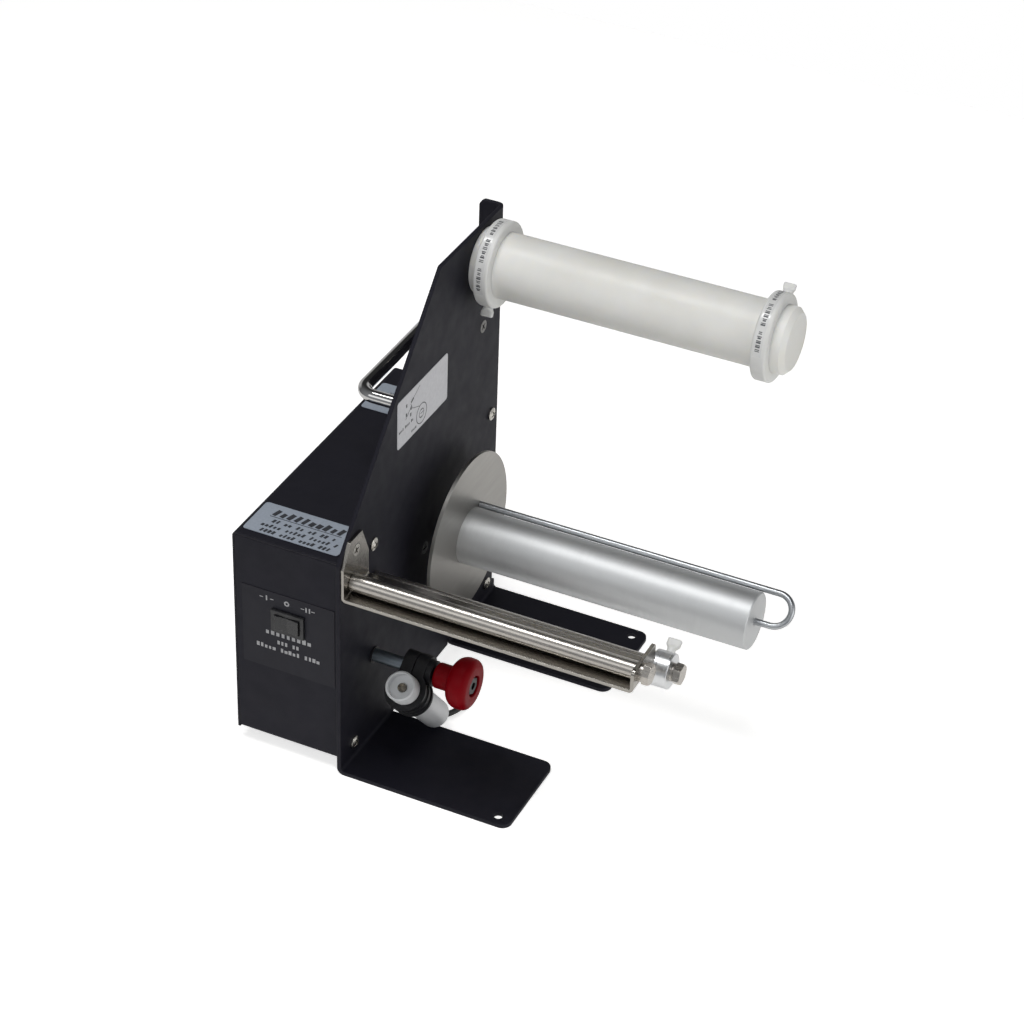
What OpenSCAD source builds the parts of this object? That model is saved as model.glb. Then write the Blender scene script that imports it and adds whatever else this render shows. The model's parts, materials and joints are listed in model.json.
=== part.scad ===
// Bench-top label dispenser: a bent side plate carries a motor case on one side and,
// on the other, a supply rod, a driven take-up spindle, a strip bar and a label sensor.
// Millimetres. The pieces are placed in plate coordinates: X = 0 on the plate's working
// face, Y = 0 on its front edge, Z = 0 on the bench. The module placed() then moves the
// origin to the middle between the two bench bolts.

/* [Side plate] */
// Height of the side plate
plate_h = 280; // [270:1:300]
// Depth of the side plate from its front edge to its rear bend
plate_depth = 206; // [200:1:215]
// Thickness of the sheet
plate_t = 2.5; // [2:0.5:3]
// Height of the upright front edge, where the slope starts
front_edge_h = 150; // [146:1:156]
// Length of the level top edge
top_edge_l = 83.5; // [78:0.5:90]
// Inner radius of the bends in the sheet
bend_r = 2; // [1:0.5:3]
// Width of the stiffening flange along the rear edge
flange_w = 16; // [12:1:18]
// Radius of the flange's upper corner
flange_corner_r = 4; // [2:0.5:5]

/* [Feet] */
// Reach of the two feet from the plate's working face
foot_w = 108; // [100:1:120]
// Width of the front foot
front_foot_l = 64; // [62:1:68]
// Width of the rear foot
rear_foot_l = 64.5; // [56:0.5:68]
// Radius of the feet's outer corners
foot_corner_r = 6; // [3:1:8]
// Diameter of the bench bolt holes
foot_hole_d = 5.5; // [4.5:0.5:6.5]
// Distance of the bench bolt holes from the feet's outer edge
foot_hole_in = 9; // [8:0.5:12]
// Distance of the bench bolt holes from the plate's front and rear edges
foot_hole_side = 7; // [6:0.5:10]

/* [Motor case] */
// Width of the case outside, from the plate to its left wall
case_w = 68; // [66:1:76]
// Distance from the plate's front edge to the case's front wall
case_front = 3; // [2:0.5:4]
// Gap between the case's rear wall and the plate's rear flange
case_rear_gap = 3.5; // [2:0.5:5]
// Height of the case's floor above the bench
case_z = 8.5; // [6:0.5:9]
// Thickness of the case's sheet
case_t = 1.5; // [1:0.25:2]
// Width of the inner lips that the screws grip
lip_w = 13; // [12:0.5:16]
// Nominal diameter of the case and cover screws
case_screw_d = 4; // [3:0.5:4]

/* [Switch and labels] */
// Width of the front panel's overlay
panel_w = 60; // [56:1:62]
// Height of the front panel's overlay
panel_h = 55; // [45:1:60]
// Top of the overlay above the bench
panel_top = 115.5; // [112:0.5:120]
// Thickness of the overlay and of the labels
label_t = 0.25; // [0.2:0.05:0.4]
// Width of the two labels on the case
case_label_w = 61; // [56:0.5:63]
// Length of the case's front label
front_label_l = 28.6; // [26:0.2:32]
// Distance of the front label from the case's front wall
front_label_in = 5.4; // [4:0.2:8]
// Length of the case's rear label
rear_label_l = 30; // [26:0.5:32]
// Distance of the rear label from the case's rear wall
rear_label_in = 19; // [15:0.5:22]
// Width of the label on the plate
side_label_w = 63; // [58:0.5:66]
// Height of the label on the plate
side_label_h = 31.5; // [28:0.5:32]
// Distance of the plate's label from the plate's front edge
side_label_y = 69; // [67:0.5:72]
// Distance from the handle's axis down to the lower edge of the plate's label
side_label_drop = 23; // [20:0.5:26]
// Width of the rocker switch's bezel
switch_w = 21; // [20:0.5:24]
// Height of the rocker switch's bezel
switch_h = 15; // [14:0.5:17]
// Distance from the plate to the middle of the switch
switch_x = 35; // [32:0.5:38]
// Height of the middle of the switch above the bench
switch_z = 96.5; // [94:0.5:99]

/* [Carry handle] */
// Diameter of the handle's rod
handle_d = 8; // [7:0.2:9]
// Distance between the handle's two legs
handle_pitch = 98; // [88:1:100]
// Reach of the handle's grip from the plate, at its middle
handle_reach = 31.5; // [28:0.5:36]
// Radius of the handle's corners at the rod's middle
handle_corner_r = 10; // [8:0.5:12]
// Distance from the plate's rear edge to the rear leg
handle_back = 26; // [25.5:0.5:32]
// Height of the handle above the bench
handle_z = 210; // [206:1:214]
// Nominal diameter of the handle's countersunk screws
handle_screw_d = 4; // [3:0.5:4]

/* [Supply rod] */
// Diameter of the plastic rod that carries the label roll
supply_d = 39.6; // [36:0.2:42]
// Length of the supply rod
supply_l = 194; // [188:1:210]
// Distance of the rod's axis below the plate's top edge
supply_drop = 23; // [22:0.5:26]
// Distance of the rod's axis from the plate's rear edge
supply_back = 28.7; // [27:0.1:32]
// Outer diameter of the roll collars
collar_d = 52; // [50:0.5:54]
// Thickness of the roll collars
collar_w = 9.5; // [9:0.5:11]
// Distance from the plate to the inner roll collar
inner_collar_x = 5; // [3:0.5:10]
// Distance from the plate to the outer roll collar
outer_collar_x = 176; // [168:0.5:178]
// Nominal diameter of the roll collars' thumb screws
thumb_d = 6; // [5:0.5:6]
// Nominal diameter of the bolt that holds the supply rod
supply_bolt_d = 8; // [6:1:10]

/* [Take-up spindle] */
// Diameter of the aluminium spindle
spindle_d = 34.8; // [32:0.2:38]
// Length of the spindle in front of its disc
spindle_l = 184; // [178:1:190]
// Diameter of the steel disc
disc_d = 104; // [98:1:108]
// Thickness of the steel disc
disc_t = 2; // [1.5:0.25:2.5]
// Distance from the plate to the disc's near face
disc_x = 15.4; // [14:0.2:17]
// Distance from the plate's front edge to the spindle's axis
spindle_y = 130.5; // [128:0.5:133]
// Height of the spindle's axis above the bench
spindle_z = 95.8; // [94:0.2:98]
// Diameter of the wire clip
clip_d = 4; // [3.5:0.25:4.5]
// Distance from the spindle's end to the clip's bend
clip_reach = 9; // [4:0.5:12]
// Depth of the hole for the clip's inner leg
clip_hole_l = 42; // [36:1:50]
// Diameter of the hub behind the disc
hub_d = 28; // [24:1:32]

/* [Gear motor] */
// Diameter of the gearbox
gearbox_d = 60; // [56:1:62]
// Length of the gearbox
gearbox_l = 24; // [20:1:26]
// Diameter of the motor
motor_d = 37; // [34:1:38]
// Length of the motor behind the gearbox
motor_l = 30; // [26:1:32]
// Diameter of the output shaft
shaft_d = 8; // [7:0.5:10]
// Offset of the motor's axis above the output shaft
motor_offset = 8; // [6:0.5:10]

/* [Strip bar] */
// Thickness of the strip bar's stainless sheet
strip_t = 2; // [1.5:0.25:2.5]
// Length of the strip bar between the outsides of its ears
strip_l = 179; // [176:1:185]
// Depth of the strip bar's web from front to back
strip_w = 30; // [28:0.5:31]
// Distance from the plate's front edge to the strip bar's front edge
strip_front = 1; // [0.5:0.5:2]
// Drop from the upper end of the plate's front edge to the strip bar's underside
strip_drop = 24.5; // [23:0.5:27]
// Height of the right ear from the strip bar's underside
right_ear_h = 14.5; // [13.5:0.5:18]
// Height of the left ear from the strip bar's underside
left_ear_h = 36; // [34:0.5:38]
// Inner radius of the strip bar's bends
strip_bend_r = 1; // [0.5:0.5:1.5]
// Diameter of the two stainless rods
rod_d = 10.5; // [9.5:0.1:11]
// Width across the flats of the rods' hexagon bolts
hex_af = 11.1; // [10:0.1:12]
// Nominal diameter of the rods' bolts
rod_bolt_d = 6; // [5:0.5:6]
// Gap between the front rod and the strip bar's web
rod_web_gap = 0.7; // [0.5:0.1:1.5]
// Distance from the strip bar's front edge to the front rod's axis
strip_rod_in = 10.5; // [9:0.5:12]
// Length of the guide rod in front of the plate
guide_rod_l = 188; // [186:1:198]
// Distance from the plate's front edge to the guide rod's axis
guide_rod_y = 41; // [40:0.5:45]
// Distance of the guide rod's axis below the strip bar's underside
guide_rod_drop = 10; // [9:0.5:11.5]
// Diameter of the guide collar
guide_collar_d = 20.8; // [19:0.2:22]
// Thickness of the guide collar
guide_collar_w = 11; // [9:0.5:12]
// Nominal diameter of the guide collar's thumb screw
guide_thumb_d = 5; // [4:0.5:5]

/* [Label sensor] */
// Diameter of the sensor
sensor_d = 18; // [16:0.5:19]
// Length of the sensor
sensor_l = 73; // [66:1:74]
// Steepness of the sensor, in degrees from the bench
sensor_tilt = 49; // [44:1:49]
// Diameter of the cup in the sensor's front end
cup_d = 15.2; // [12:0.2:15.2]
// Depth of the cup
cup_depth = 5; // [3:0.5:6]
// Diameter of the stud that carries the sensor
stud_d = 8; // [7:0.5:8]
// Distance from the plate's front edge to the stud
stud_y = 41.5; // [40:0.5:43]
// Height of the stud above the bench
stud_z = 60.5; // [60:0.5:62]
// Distance from the plate to the clamp
clamp_x = 21.2; // [20.8:0.1:24]
// Thickness of each of the clamp's two lugs
lug_t = 7.4; // [6.6:0.1:8]
// Width of the clamp along the sensor
clamp_w = 15.5; // [14:0.5:17]
// Wall of the clamp's ring round the sensor
clamp_wall = 2.7; // [2.2:0.1:3]
// Height of the two rims round the clamp's ring
clamp_rim = 0.8; // [0.4:0.2:1]
// Slit between the lugs
clamp_slit = 0.6; // [0.4:0.1:1]
// Distance between the stud's axis and the sensor's axis
clamp_reach = 15.2; // [14.8:0.1:16]
// Distance from the sensor's front end to the stud
clamp_back = 17.5; // [17.5:0.5:20]
// Diameter of the knob
knob_d = 31; // [28:0.5:32]
// Thickness of the knob
knob_h = 14; // [12:0.5:16]
// Diameter of the knob's neck
knob_neck_d = 15.5; // [14:0.5:16.5]
// Length of the knob's neck
knob_neck_l = 10.2; // [9:0.2:12]
// Diameter of the sensor's cable
cable_d = 3.6; // [3:0.2:3.8]

/* [Hidden] */
$fn = 64;

// Clearances
hole_gap = 0.2;      // round a screw that passes through a hole
thread_gap = 0.05;   // round a screw in its own thread
run_gap = 0.05;      // radial, for what turns or slides on a shaft
seat_gap = 0.1;      // between faces that meet but move on each other
eps = 0.01;

// Places worked out from the driving sizes
bend_out = bend_r + plate_t;
rear_foot_y = plate_depth - rear_foot_l;
foot_hole_x = foot_w - foot_hole_in;
slope_top_y = plate_depth - top_edge_l;
plate_left = -plate_t;
plate_lift = 0.5;                         // of the plate's edge between the feet
flange_z = bend_out + 5.5;                // lower end of the rear flange
relief_w = 1.5;

case_right = plate_left;
case_left = case_right - case_w;
case_back = plate_depth - plate_t - case_rear_gap;
case_top = front_edge_h;
case_fit = 0.2;                           // between the tray's and the cover's sheets
label_corner_r = 2;
case_screw_z_low = case_z + case_t + 3.2;
case_screw_front_y = 16;
case_screw_mid_y = 40;
case_screw_rear_y = case_back - case_t - 5.2;
case_screw_high_z = case_top - 9;
cover_lip_h = 15;
cover_bend_r = 1.5;
cover_screw_in = case_t + 6.5;
cover_screw_rise = 22;

handle_rear_y = plate_depth - handle_back;
handle_front_y = handle_rear_y - handle_pitch;
flush_thread_l = 8;                       // of the countersunk screws behind the plate

supply_y = plate_depth - supply_back;
supply_z = plate_h - supply_drop;
supply_hole_l = 30;

spindle_x = disc_x + disc_t;
spindle_end = spindle_x + spindle_l;
clip_gap = 0.3;
clip_r = spindle_d / 2 + clip_d / 2 + clip_gap;  // from the axis to the outer leg
clip_angle = 45;                                 // of the outer leg above the rear
clip_bend_x = spindle_end + clip_reach;
clip_inner_l = clip_hole_l - 4;

gear_x = plate_left - 1;
shaft_in = 13;                            // of the output shaft into the gearbox
shaft_out = 26;                           // of the output shaft into the spindle
boss_d = 22;
gear_screw_r = gearbox_d / 2 - 6;
motor_x = gear_x - gearbox_l;

strip_end = strip_l;
strip_z = front_edge_h - strip_drop;
guide_rod_z = strip_z - guide_rod_drop;
strip_back = strip_front + strip_w;
strip_top = strip_z + strip_t;
strip_rod_y = strip_front + strip_rod_in;
strip_rod_z = strip_top + rod_web_gap + rod_d / 2;
bolt_head_h = 4.2;
bolt_thread_l = 15;                       // in the ends of the two rods
washer_t = 2;
guide_collar_x = guide_rod_l - guide_collar_w - 2;

lug_gap = clamp_slit / 2;
clamp_mid = clamp_x + lug_t + lug_gap;
clamp_end = clamp_x + 2 * lug_t + clamp_slit;
lug_top = 2;                              // of the lugs' round ends past the stud
sensor_r = sensor_d / 2;
ring_r = sensor_r + run_gap + clamp_wall;
sensor_front = -clamp_back;
sensor_rear = sensor_l - clamp_back;
thread_d = 6;                             // of the stud's far end
stud_washer_t = 0.8;
knob_washer_t = 3.4;
knob_washer_d = 15.6;
washer_x = clamp_end + seat_gap;
insert_x = washer_x + knob_washer_t + seat_gap;
bush_l = 1;                               // of the insert in front of the neck
neck_x = insert_x + bush_l;
head_x = neck_x + knob_neck_l;
head_end = head_x + knob_h;
knob_recess = 3.2;                        // depth of the recess in its face
stud_end = head_end - 8;

// Middle line of the sensor's cable, from inside the sensor to inside the case
cable_path = [
    [clamp_mid, 60.5, 15.4], [clamp_mid, 63.8, 11.6], [clamp_mid, 66.4, 8.6],
    [clamp_mid + 0.2, 68.6, 6.2], [30, 71.2, 4.5], [31.7, 74, 3.8], [34, 77.5, 3.8], [36.2, 82, 4.2],
    [37, 87, 5], [36, 92, 6.4], [33, 96.2, 8.2], [28.5, 98.6, 10.2],
    [23, 99, 12.2], [17.5, 98, 14.2], [12, 96.4, 16], [7, 95.3, 17],
    [2, 95, 17.2], [-3, 95, 17.2], [-9, 95, 17.2], [-13.5, 95, 17.2]
];
cable_sides = 8;
grommet_d = cable_d + 5;
grommet_y = 95;
grommet_z = 17.2;

function unit(v) = v / norm(v);

// From plate coordinates to the part's own origin
module placed() {
    translate([-foot_hole_x, -plate_depth / 2, 0]) children();
}

// Outline in Y and Z, made a plate from x over the length l along X
module along_x(x, l) {
    translate([x, 0, 0]) rotate([90, 0, 90]) linear_extrude(l) children();
}

// Outline in X and Z, made a bar from y over the length l along Y
module along_y(y, l) {
    translate([0, y + l, 0]) rotate([90, 0, 0]) linear_extrude(l) children();
}

// Children whose axis is +Z are turned to +X at the point y, z
module axis_x(x, y, z) {
    translate([x, y, z]) rotate([0, 90, 0]) children();
}

module hole_x(y, z, d) {
    axis_x(plate_left - 5, y, z) cylinder(d = d, h = plate_t + 10);
}

// Section of a bent sheet: outer corner at the origin, legs along +x and +y
module bent_section(t, r, a, b) {
    translate([r + t, 0]) square([a - r - t, t]);
    translate([0, r + t]) square([t, b - r - t]);
    intersection() {
        square([r + t, r + t]);
        translate([r + t, r + t]) difference() {
            circle(r + t);
            circle(r);
        }
    }
}

// What is cut off a square corner at the origin to round it, legs along +x and +y
module corner_waste(r) {
    difference() {
        translate([-1, -1]) square(r + 1);
        translate([r, r]) circle(r);
    }
}

// Rectangle with four rounded corners
module rounded_sheet(w, h, r) {
    difference() {
        square([w, h]);
        corner_waste(r);
        translate([w, 0]) rotate(90) corner_waste(r);
        translate([w, h]) rotate(180) corner_waste(r);
        translate([0, h]) rotate(-90) corner_waste(r);
    }
}

// Disc along +Z with rounded rims
module round_disc(r, h, e) {
    rotate_extrude() {
        square([r - e, h]);
        translate([0, e]) square([r, h - 2 * e]);
        for (z = [e, h - e]) translate([r - e, z]) circle(e);
    }
}

module cross_recess(w, t, depth) {
    for (a = [0, 90]) {
        rotate(a) translate([-w / 2, -t / 2, -depth]) cube([w, t, depth + 1]);
    }
}

// Pan head screw along +Z, its head on z = 0 and its shank below
module pan_screw(d, l) {
    head_h = 0.62 * d;
    cap_r = 1.7 * d;
    difference() {
        union() {
            translate([0, 0, -l]) cylinder(d = d, h = l + eps);
            intersection() {
                cylinder(r = d, h = head_h);
                translate([0, 0, head_h - cap_r]) sphere(r = cap_r);
            }
        }
        translate([0, 0, head_h]) cross_recess(1.2 * d, 0.24 * d, 0.4 * d);
    }
}

// Countersunk screw along +Z, its head flush with z = 0
module flush_screw(d, l) {
    difference() {
        union() {
            translate([0, 0, -l]) cylinder(d = d, h = l);
            translate([0, 0, -d / 2]) cylinder(d1 = d, d2 = 2 * d, h = d / 2);
        }
        cross_recess(1.2 * d, 0.24 * d, 0.3 * d);
    }
}

// The seat of a countersunk screw, with its clearance
module flush_seat(d, l) {
    translate([0, 0, -l]) cylinder(d = d + 2 * hole_gap, h = l + 1);
    translate([0, 0, -d / 2]) cylinder(d1 = d + 2 * hole_gap, d2 = 2 * d + 2 * hole_gap, h = d / 2);
    cylinder(d = 2 * d + 2 * hole_gap, h = 1);
}

// Hexagon bolt along +Z, its head from z = 0 to h and its shank below
module hex_bolt(af, h, d, l) {
    corner_d = af / cos(30);
    translate([0, 0, -l]) cylinder(d = d, h = l + eps);
    intersection() {
        cylinder(d = corner_d, h = h, $fn = 6);
        translate([0, 0, -corner_d * 0.2])
            cylinder(d1 = corner_d * 1.5, d2 = corner_d * 0.92, h = h + corner_d * 0.2);
    }
}

module ring(d_out, d_in, h) {
    difference() {
        cylinder(d = d_out, h = h);
        translate([0, 0, -1]) cylinder(d = d_in, h = h + 2);
    }
}

// Moulded thumb screw along +Z: the shank ends at z = 0, the paddle stands on a short neck
module thumb_screw(d, shank, neck_h, paddle_w, paddle_h, paddle_t) {
    foot_w2 = d * 0.45;
    cylinder(d = d, h = shank + neck_h);
    translate([0, paddle_t / 2, shank + neck_h - eps]) rotate([90, 0, 0]) linear_extrude(paddle_t) {
        polygon([
            [-foot_w2, 0], [foot_w2, 0], [paddle_w / 2, paddle_h * 0.4],
            [paddle_w / 2, paddle_h * 0.85], [paddle_w * 0.4, paddle_h], [-paddle_w * 0.4, paddle_h],
            [-paddle_w / 2, paddle_h * 0.85], [-paddle_w / 2, paddle_h * 0.4]
        ]);
    }
}

// A tube along a path, as one closed surface
module swept_tube(path, r, sides) {
    n = len(path);
    ahead = [for (i = [0:n - 1]) unit(path[min(i + 1, n - 1)] - path[max(i - 1, 0)])];
    side = [for (i = [0:n - 1]) unit(cross(ahead[i], [0.05, -0.35, 0.93]))];
    rings = [for (i = [0:n - 1]) for (k = [0:sides - 1])
        path[i] + r * (cos(360 * k / sides) * side[i] + sin(360 * k / sides) * cross(ahead[i], side[i]))];
    walls = [for (i = [0:n - 2]) for (k = [0:sides - 1])
        [i * sides + k, (i + 1) * sides + k,
         (i + 1) * sides + (k + 1) % sides, i * sides + (k + 1) % sides]];
    start = [for (k = [0:sides - 1]) k];
    end = [for (k = [sides - 1:-1:0]) (n - 1) * sides + k];
    polyhedron(rings, concat(walls, [start, end]), convexity = 6);
}

// Bent plate: sloping front, two feet with bench bolt holes and a stiffening rear flange
module side_plate() {
    color([0.2, 0.2, 0.21]) placed() difference() {
        union() {
            along_x(plate_left, plate_t) polygon([
                [0, bend_out], [0, front_edge_h], [slope_top_y, plate_h],
                [plate_depth - bend_out, plate_h], [plate_depth - bend_out, flange_z],
                [plate_depth, flange_z - relief_w], [plate_depth, bend_out],
                [rear_foot_y, bend_out], [rear_foot_y - relief_w, bend_out + relief_w],
                [rear_foot_y - relief_w, plate_lift], [front_foot_l + relief_w, plate_lift],
                [front_foot_l + relief_w, bend_out + relief_w], [front_foot_l, bend_out]
            ]);
            plate_foot(0, front_foot_l);
            plate_foot(rear_foot_y, rear_foot_l);
            plate_flange();
        }
        plate_holes();
    }
}

module plate_foot(y, l) {
    difference() {
        along_y(y, l) translate([plate_left, 0])
            bent_section(plate_t, bend_r, foot_w + plate_t, bend_out + eps);
        for (c = [[y, 0], [y + l, 90]]) {
            translate([foot_w, c[0], -1]) rotate(90 + c[1])
                linear_extrude(plate_t + 2) corner_waste(foot_corner_r);
        }
    }
}

module plate_flange() {
    difference() {
        translate([0, plate_depth, flange_z]) rotate(180) linear_extrude(plate_h - flange_z)
            bent_section(plate_t, bend_r, flange_w, bend_out + eps);
        along_y(plate_depth - plate_t - 1, plate_t + 2) translate([-flange_w, plate_h]) rotate(-90)
            corner_waste(flange_corner_r);
    }
}

module plate_holes() {
    for (y = [foot_hole_side, plate_depth - foot_hole_side]) {
        translate([foot_hole_x, y, -1]) cylinder(d = foot_hole_d, h = plate_t + 2);
    }
    for (p = case_screw_places()) hole_x(p[0], p[1], case_screw_d + 2 * hole_gap);
    for (y = [handle_front_y, handle_rear_y]) {
        axis_x(0, y, handle_z) flush_seat(handle_screw_d, plate_t + 2);
    }
    for (a = gear_screw_angles()) {
        axis_x(0, spindle_y, spindle_z) rotate(a) translate([gear_screw_r, 0, 0])
            flush_seat(case_screw_d, plate_t + 2);
    }
    hole_x(supply_y, supply_z, supply_bolt_d + 2 * hole_gap);
    hole_x(spindle_y, spindle_z, boss_d + 1);
    hole_x(bracket_screw_y(), bracket_screw_z(), case_screw_d + 2 * thread_gap);
    hole_x(strip_rod_y, strip_rod_z, rod_bolt_d + 2 * hole_gap);
    hole_x(guide_rod_y, guide_rod_z, rod_bolt_d + 2 * hole_gap);
    hole_x(stud_y, stud_z, thread_d + 2 * hole_gap);
    hole_x(grommet_y, grommet_z, grommet_d);
}

function case_screw_places() = [
    [case_screw_front_y, case_screw_z_low], [case_screw_mid_y, case_screw_high_z],
    [case_screw_rear_y, case_screw_high_z], [case_screw_rear_y, case_screw_z_low]
];
function gear_screw_angles() = [30, 150, 270];
function bracket_screw_y() = strip_front + strip_w * 0.52;
function bracket_screw_z() = strip_z + left_ear_h - 9.5;

// Front, floor and rear of the case, with lips for the screws
module case_tray() {
    inner_left = case_left + case_t + case_fit;
    front_in = case_front + case_t;
    back_in = case_back - case_t;
    wall_top = case_top - case_t - case_fit;
    color([0.16, 0.16, 0.17]) placed() difference() {
        union() {
            along_x(inner_left, case_right - inner_left) {
                translate([case_front, case_z])
                    bent_section(case_t, 1, (case_back - case_front) / 2, wall_top - case_z);
                translate([case_back, case_z]) mirror([1, 0])
                    bent_section(case_t, 1, (case_back - case_front) / 2, wall_top - case_z);
            }
            // Lips beside the cover's left wall
            for (y = [front_in - eps, back_in - lip_w + eps]) {
                translate([inner_left, y, case_z + 10]) cube([case_t, lip_w, wall_top - case_z - 20]);
            }
            // Lip along the rear wall, and two tabs on the floor, against the plate
            translate([case_right - case_t, back_in - lip_w + eps, case_z + 30])
                cube([case_t, lip_w, wall_top - case_z - 30]);
            for (y = [case_screw_front_y, case_screw_rear_y]) {
                translate([case_right - case_t, y - 5, case_z + case_t - eps]) cube([case_t, 10, 10]);
            }
        }
        for (p = case_screw_places()) hole_x(p[0], p[1], case_screw_d + 2 * thread_gap);
        cover_screw_holes(thread_gap);
        // Rounded corners of the front and rear walls under the cover's bend
        along_y(case_front - 1, case_back - case_front + 2) translate([inner_left, wall_top])
            mirror([0, 1]) corner_waste(cover_bend_r);
        translate([-switch_x, case_front - 1, switch_z]) rotate([-90, 0, 0])
            translate([-switch_cut_w() / 2, -switch_cut_h() / 2, 0])
                cube([switch_cut_w(), switch_cut_h(), case_t + 2]);
        translate([socket_x(), case_back + 1, socket_z()]) rotate([90, 0, 0])
            cylinder(d = socket_d() + 2 * hole_gap, h = case_t + 2);
        for (p = standoff_places()) {
            translate([p[0], p[1], case_z - 1])
                cylinder(d = standoff_tail() + 2 * thread_gap, h = case_t + 2);
        }
    }
}

function switch_cut_w() = switch_w - 2;
function switch_cut_h() = switch_h - 2;
function socket_x() = case_left + 22;
function socket_z() = case_z + 24;
function socket_d() = 11;
function standoff_tail() = 4;

// Top and left wall of the case, with a lip along the plate
module case_cover() {
    color([0.14, 0.14, 0.15]) placed() difference() {
        union() {
            along_y(case_front, case_back - case_front) translate([case_left, case_top]) mirror([0, 1])
                bent_section(case_t, cover_bend_r, case_w, case_top - case_z);
            translate([case_right - case_t, case_front + 22, case_top - cover_lip_h])
                cube([case_t, case_back - case_front - 22 - lip_w - 5, cover_lip_h - case_t + eps]);
        }
        for (p = case_screw_places()) hole_x(p[0], p[1], case_screw_d + 2 * thread_gap);
        cover_screw_holes(hole_gap);
    }
}

function cover_screw_places() = [for (y = [case_front + cover_screw_in, case_back - cover_screw_in])
    for (z = [case_z + cover_screw_rise, case_top - cover_screw_rise]) [y, z]];

module cover_screw_holes(gap) {
    for (p = cover_screw_places()) {
        axis_x(case_left - 1, p[0], p[1]) cylinder(d = case_screw_d + 2 * gap, h = 2 * case_t + 2);
    }
}

// Four screws through the plate into the case
module case_screws() {
    color([0.75, 0.74, 0.72]) placed() for (p = case_screw_places()) {
        axis_x(0, p[0], p[1]) rotate(20) pan_screw(case_screw_d, plate_t + case_t + 1.5);
    }
}

// Four screws through the cover's left wall into the tray
module cover_screws() {
    color([0.75, 0.74, 0.72]) placed() for (p = cover_screw_places()) {
        translate([case_left, p[0], p[1]]) rotate([0, -90, 0]) pan_screw(case_screw_d, 2 * case_t + 2);
    }
}

// Plastic overlay on the front wall round the switch
module switch_panel() {
    color([0.1, 0.1, 0.11]) placed() along_y(case_front - label_t, label_t) difference() {
        translate([-switch_x - panel_w / 2, panel_top - panel_h]) square([panel_w, panel_h]);
        translate([-switch_x - switch_w / 2 - hole_gap, switch_z - switch_h / 2 - hole_gap])
            square([switch_w + 2 * hole_gap, switch_h + 2 * hole_gap]);
    }
}

rocker_w = 15.4;
rocker_h = 9.6;
switch_depth = 20;
bezel_t = 1.8;

// Switch housing: bezel, body in the panel's cut-out and two terminals
module switch_body() {
    color([0.07, 0.07, 0.08]) placed() translate([-switch_x, case_front, switch_z]) difference() {
        union() {
            translate([-switch_w / 2, -bezel_t, -switch_h / 2]) cube([switch_w, bezel_t, switch_h]);
            translate([-switch_cut_w() / 2 + hole_gap, -eps, -switch_cut_h() / 2 + hole_gap])
                cube([switch_cut_w() - 2 * hole_gap, switch_depth, switch_cut_h() - 2 * hole_gap]);
            for (x = [-5, 0, 5]) {
                translate([x - 0.4, switch_depth - 1, -3]) cube([0.8, 9, 6]);
            }
        }
        translate([-rocker_w / 2 - 0.5, -bezel_t - 1, -rocker_h / 2 - 0.3])
            cube([rocker_w + 1, bezel_t + 8, rocker_h + 0.6]);
    }
}

// Rocker with a shallow V face, turning on an upright axis
module rocker() {
    face = bezel_t + 1.2;
    color([0.06, 0.06, 0.07]) placed() translate([-switch_x, case_front, switch_z - rocker_h / 2])
        linear_extrude(rocker_h) polygon([
            [-rocker_w / 2, -face], [0, -face + 0.9], [rocker_w / 2, -face],
            [rocker_w / 2 - 0.3, 1], [rocker_w / 2 - 3, 4], [-rocker_w / 2 + 3, 4], [-rocker_w / 2 + 0.3, 1]
        ]);
}

// Label on the case's top, in the middle between the plate and the cover's left wall
module top_label(y, l) {
    color([0.6, 0.64, 0.7]) placed()
        translate([case_left + (case_w - case_label_w) / 2, y, case_top])
            linear_extrude(label_t) rounded_sheet(case_label_w, l, label_corner_r);
}

module front_label() {
    top_label(case_front + front_label_in, front_label_l);
}

module rear_label() {
    top_label(case_back - rear_label_in - rear_label_l, rear_label_l);
}

// Label on the plate, over the handle's front screw
module side_label() {
    color([0.68, 0.68, 0.7]) placed() along_x(0, label_t)
        translate([side_label_y, handle_z - side_label_drop])
            rounded_sheet(side_label_w, side_label_h, label_corner_r);
}

// Round rod bent to a U, with tapped ends against the plate
module carry_handle() {
    leg = handle_reach - handle_corner_r;
    grip_y = handle_front_y + handle_corner_r;
    grip_l = handle_pitch - 2 * handle_corner_r;
    color([0.8, 0.8, 0.8]) placed() difference() {
        union() {
            for (y = [handle_front_y, handle_rear_y]) {
                axis_x(-leg, y, handle_z) cylinder(d = handle_d, h = leg + plate_left);
            }
            translate([-handle_reach, grip_y, handle_z]) rotate([-90, 0, 0])
                cylinder(d = handle_d, h = grip_l);
            translate([-leg, grip_y, handle_z]) rotate(180) handle_corner();
            translate([-leg, grip_y + grip_l, handle_z]) rotate(90) handle_corner();
        }
        for (y = [handle_front_y, handle_rear_y]) {
            axis_x(plate_left - 9, y, handle_z) cylinder(d = handle_screw_d + 2 * thread_gap, h = 10);
        }
    }
}

module handle_corner() {
    rotate_extrude(angle = 90) translate([handle_corner_r, 0]) circle(d = handle_d);
}

module handle_screws() {
    color([0.75, 0.74, 0.72]) placed() for (y = [handle_front_y, handle_rear_y]) {
        axis_x(0, y, handle_z) rotate(35) flush_screw(handle_screw_d, plate_t + flush_thread_l);
    }
}

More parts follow.
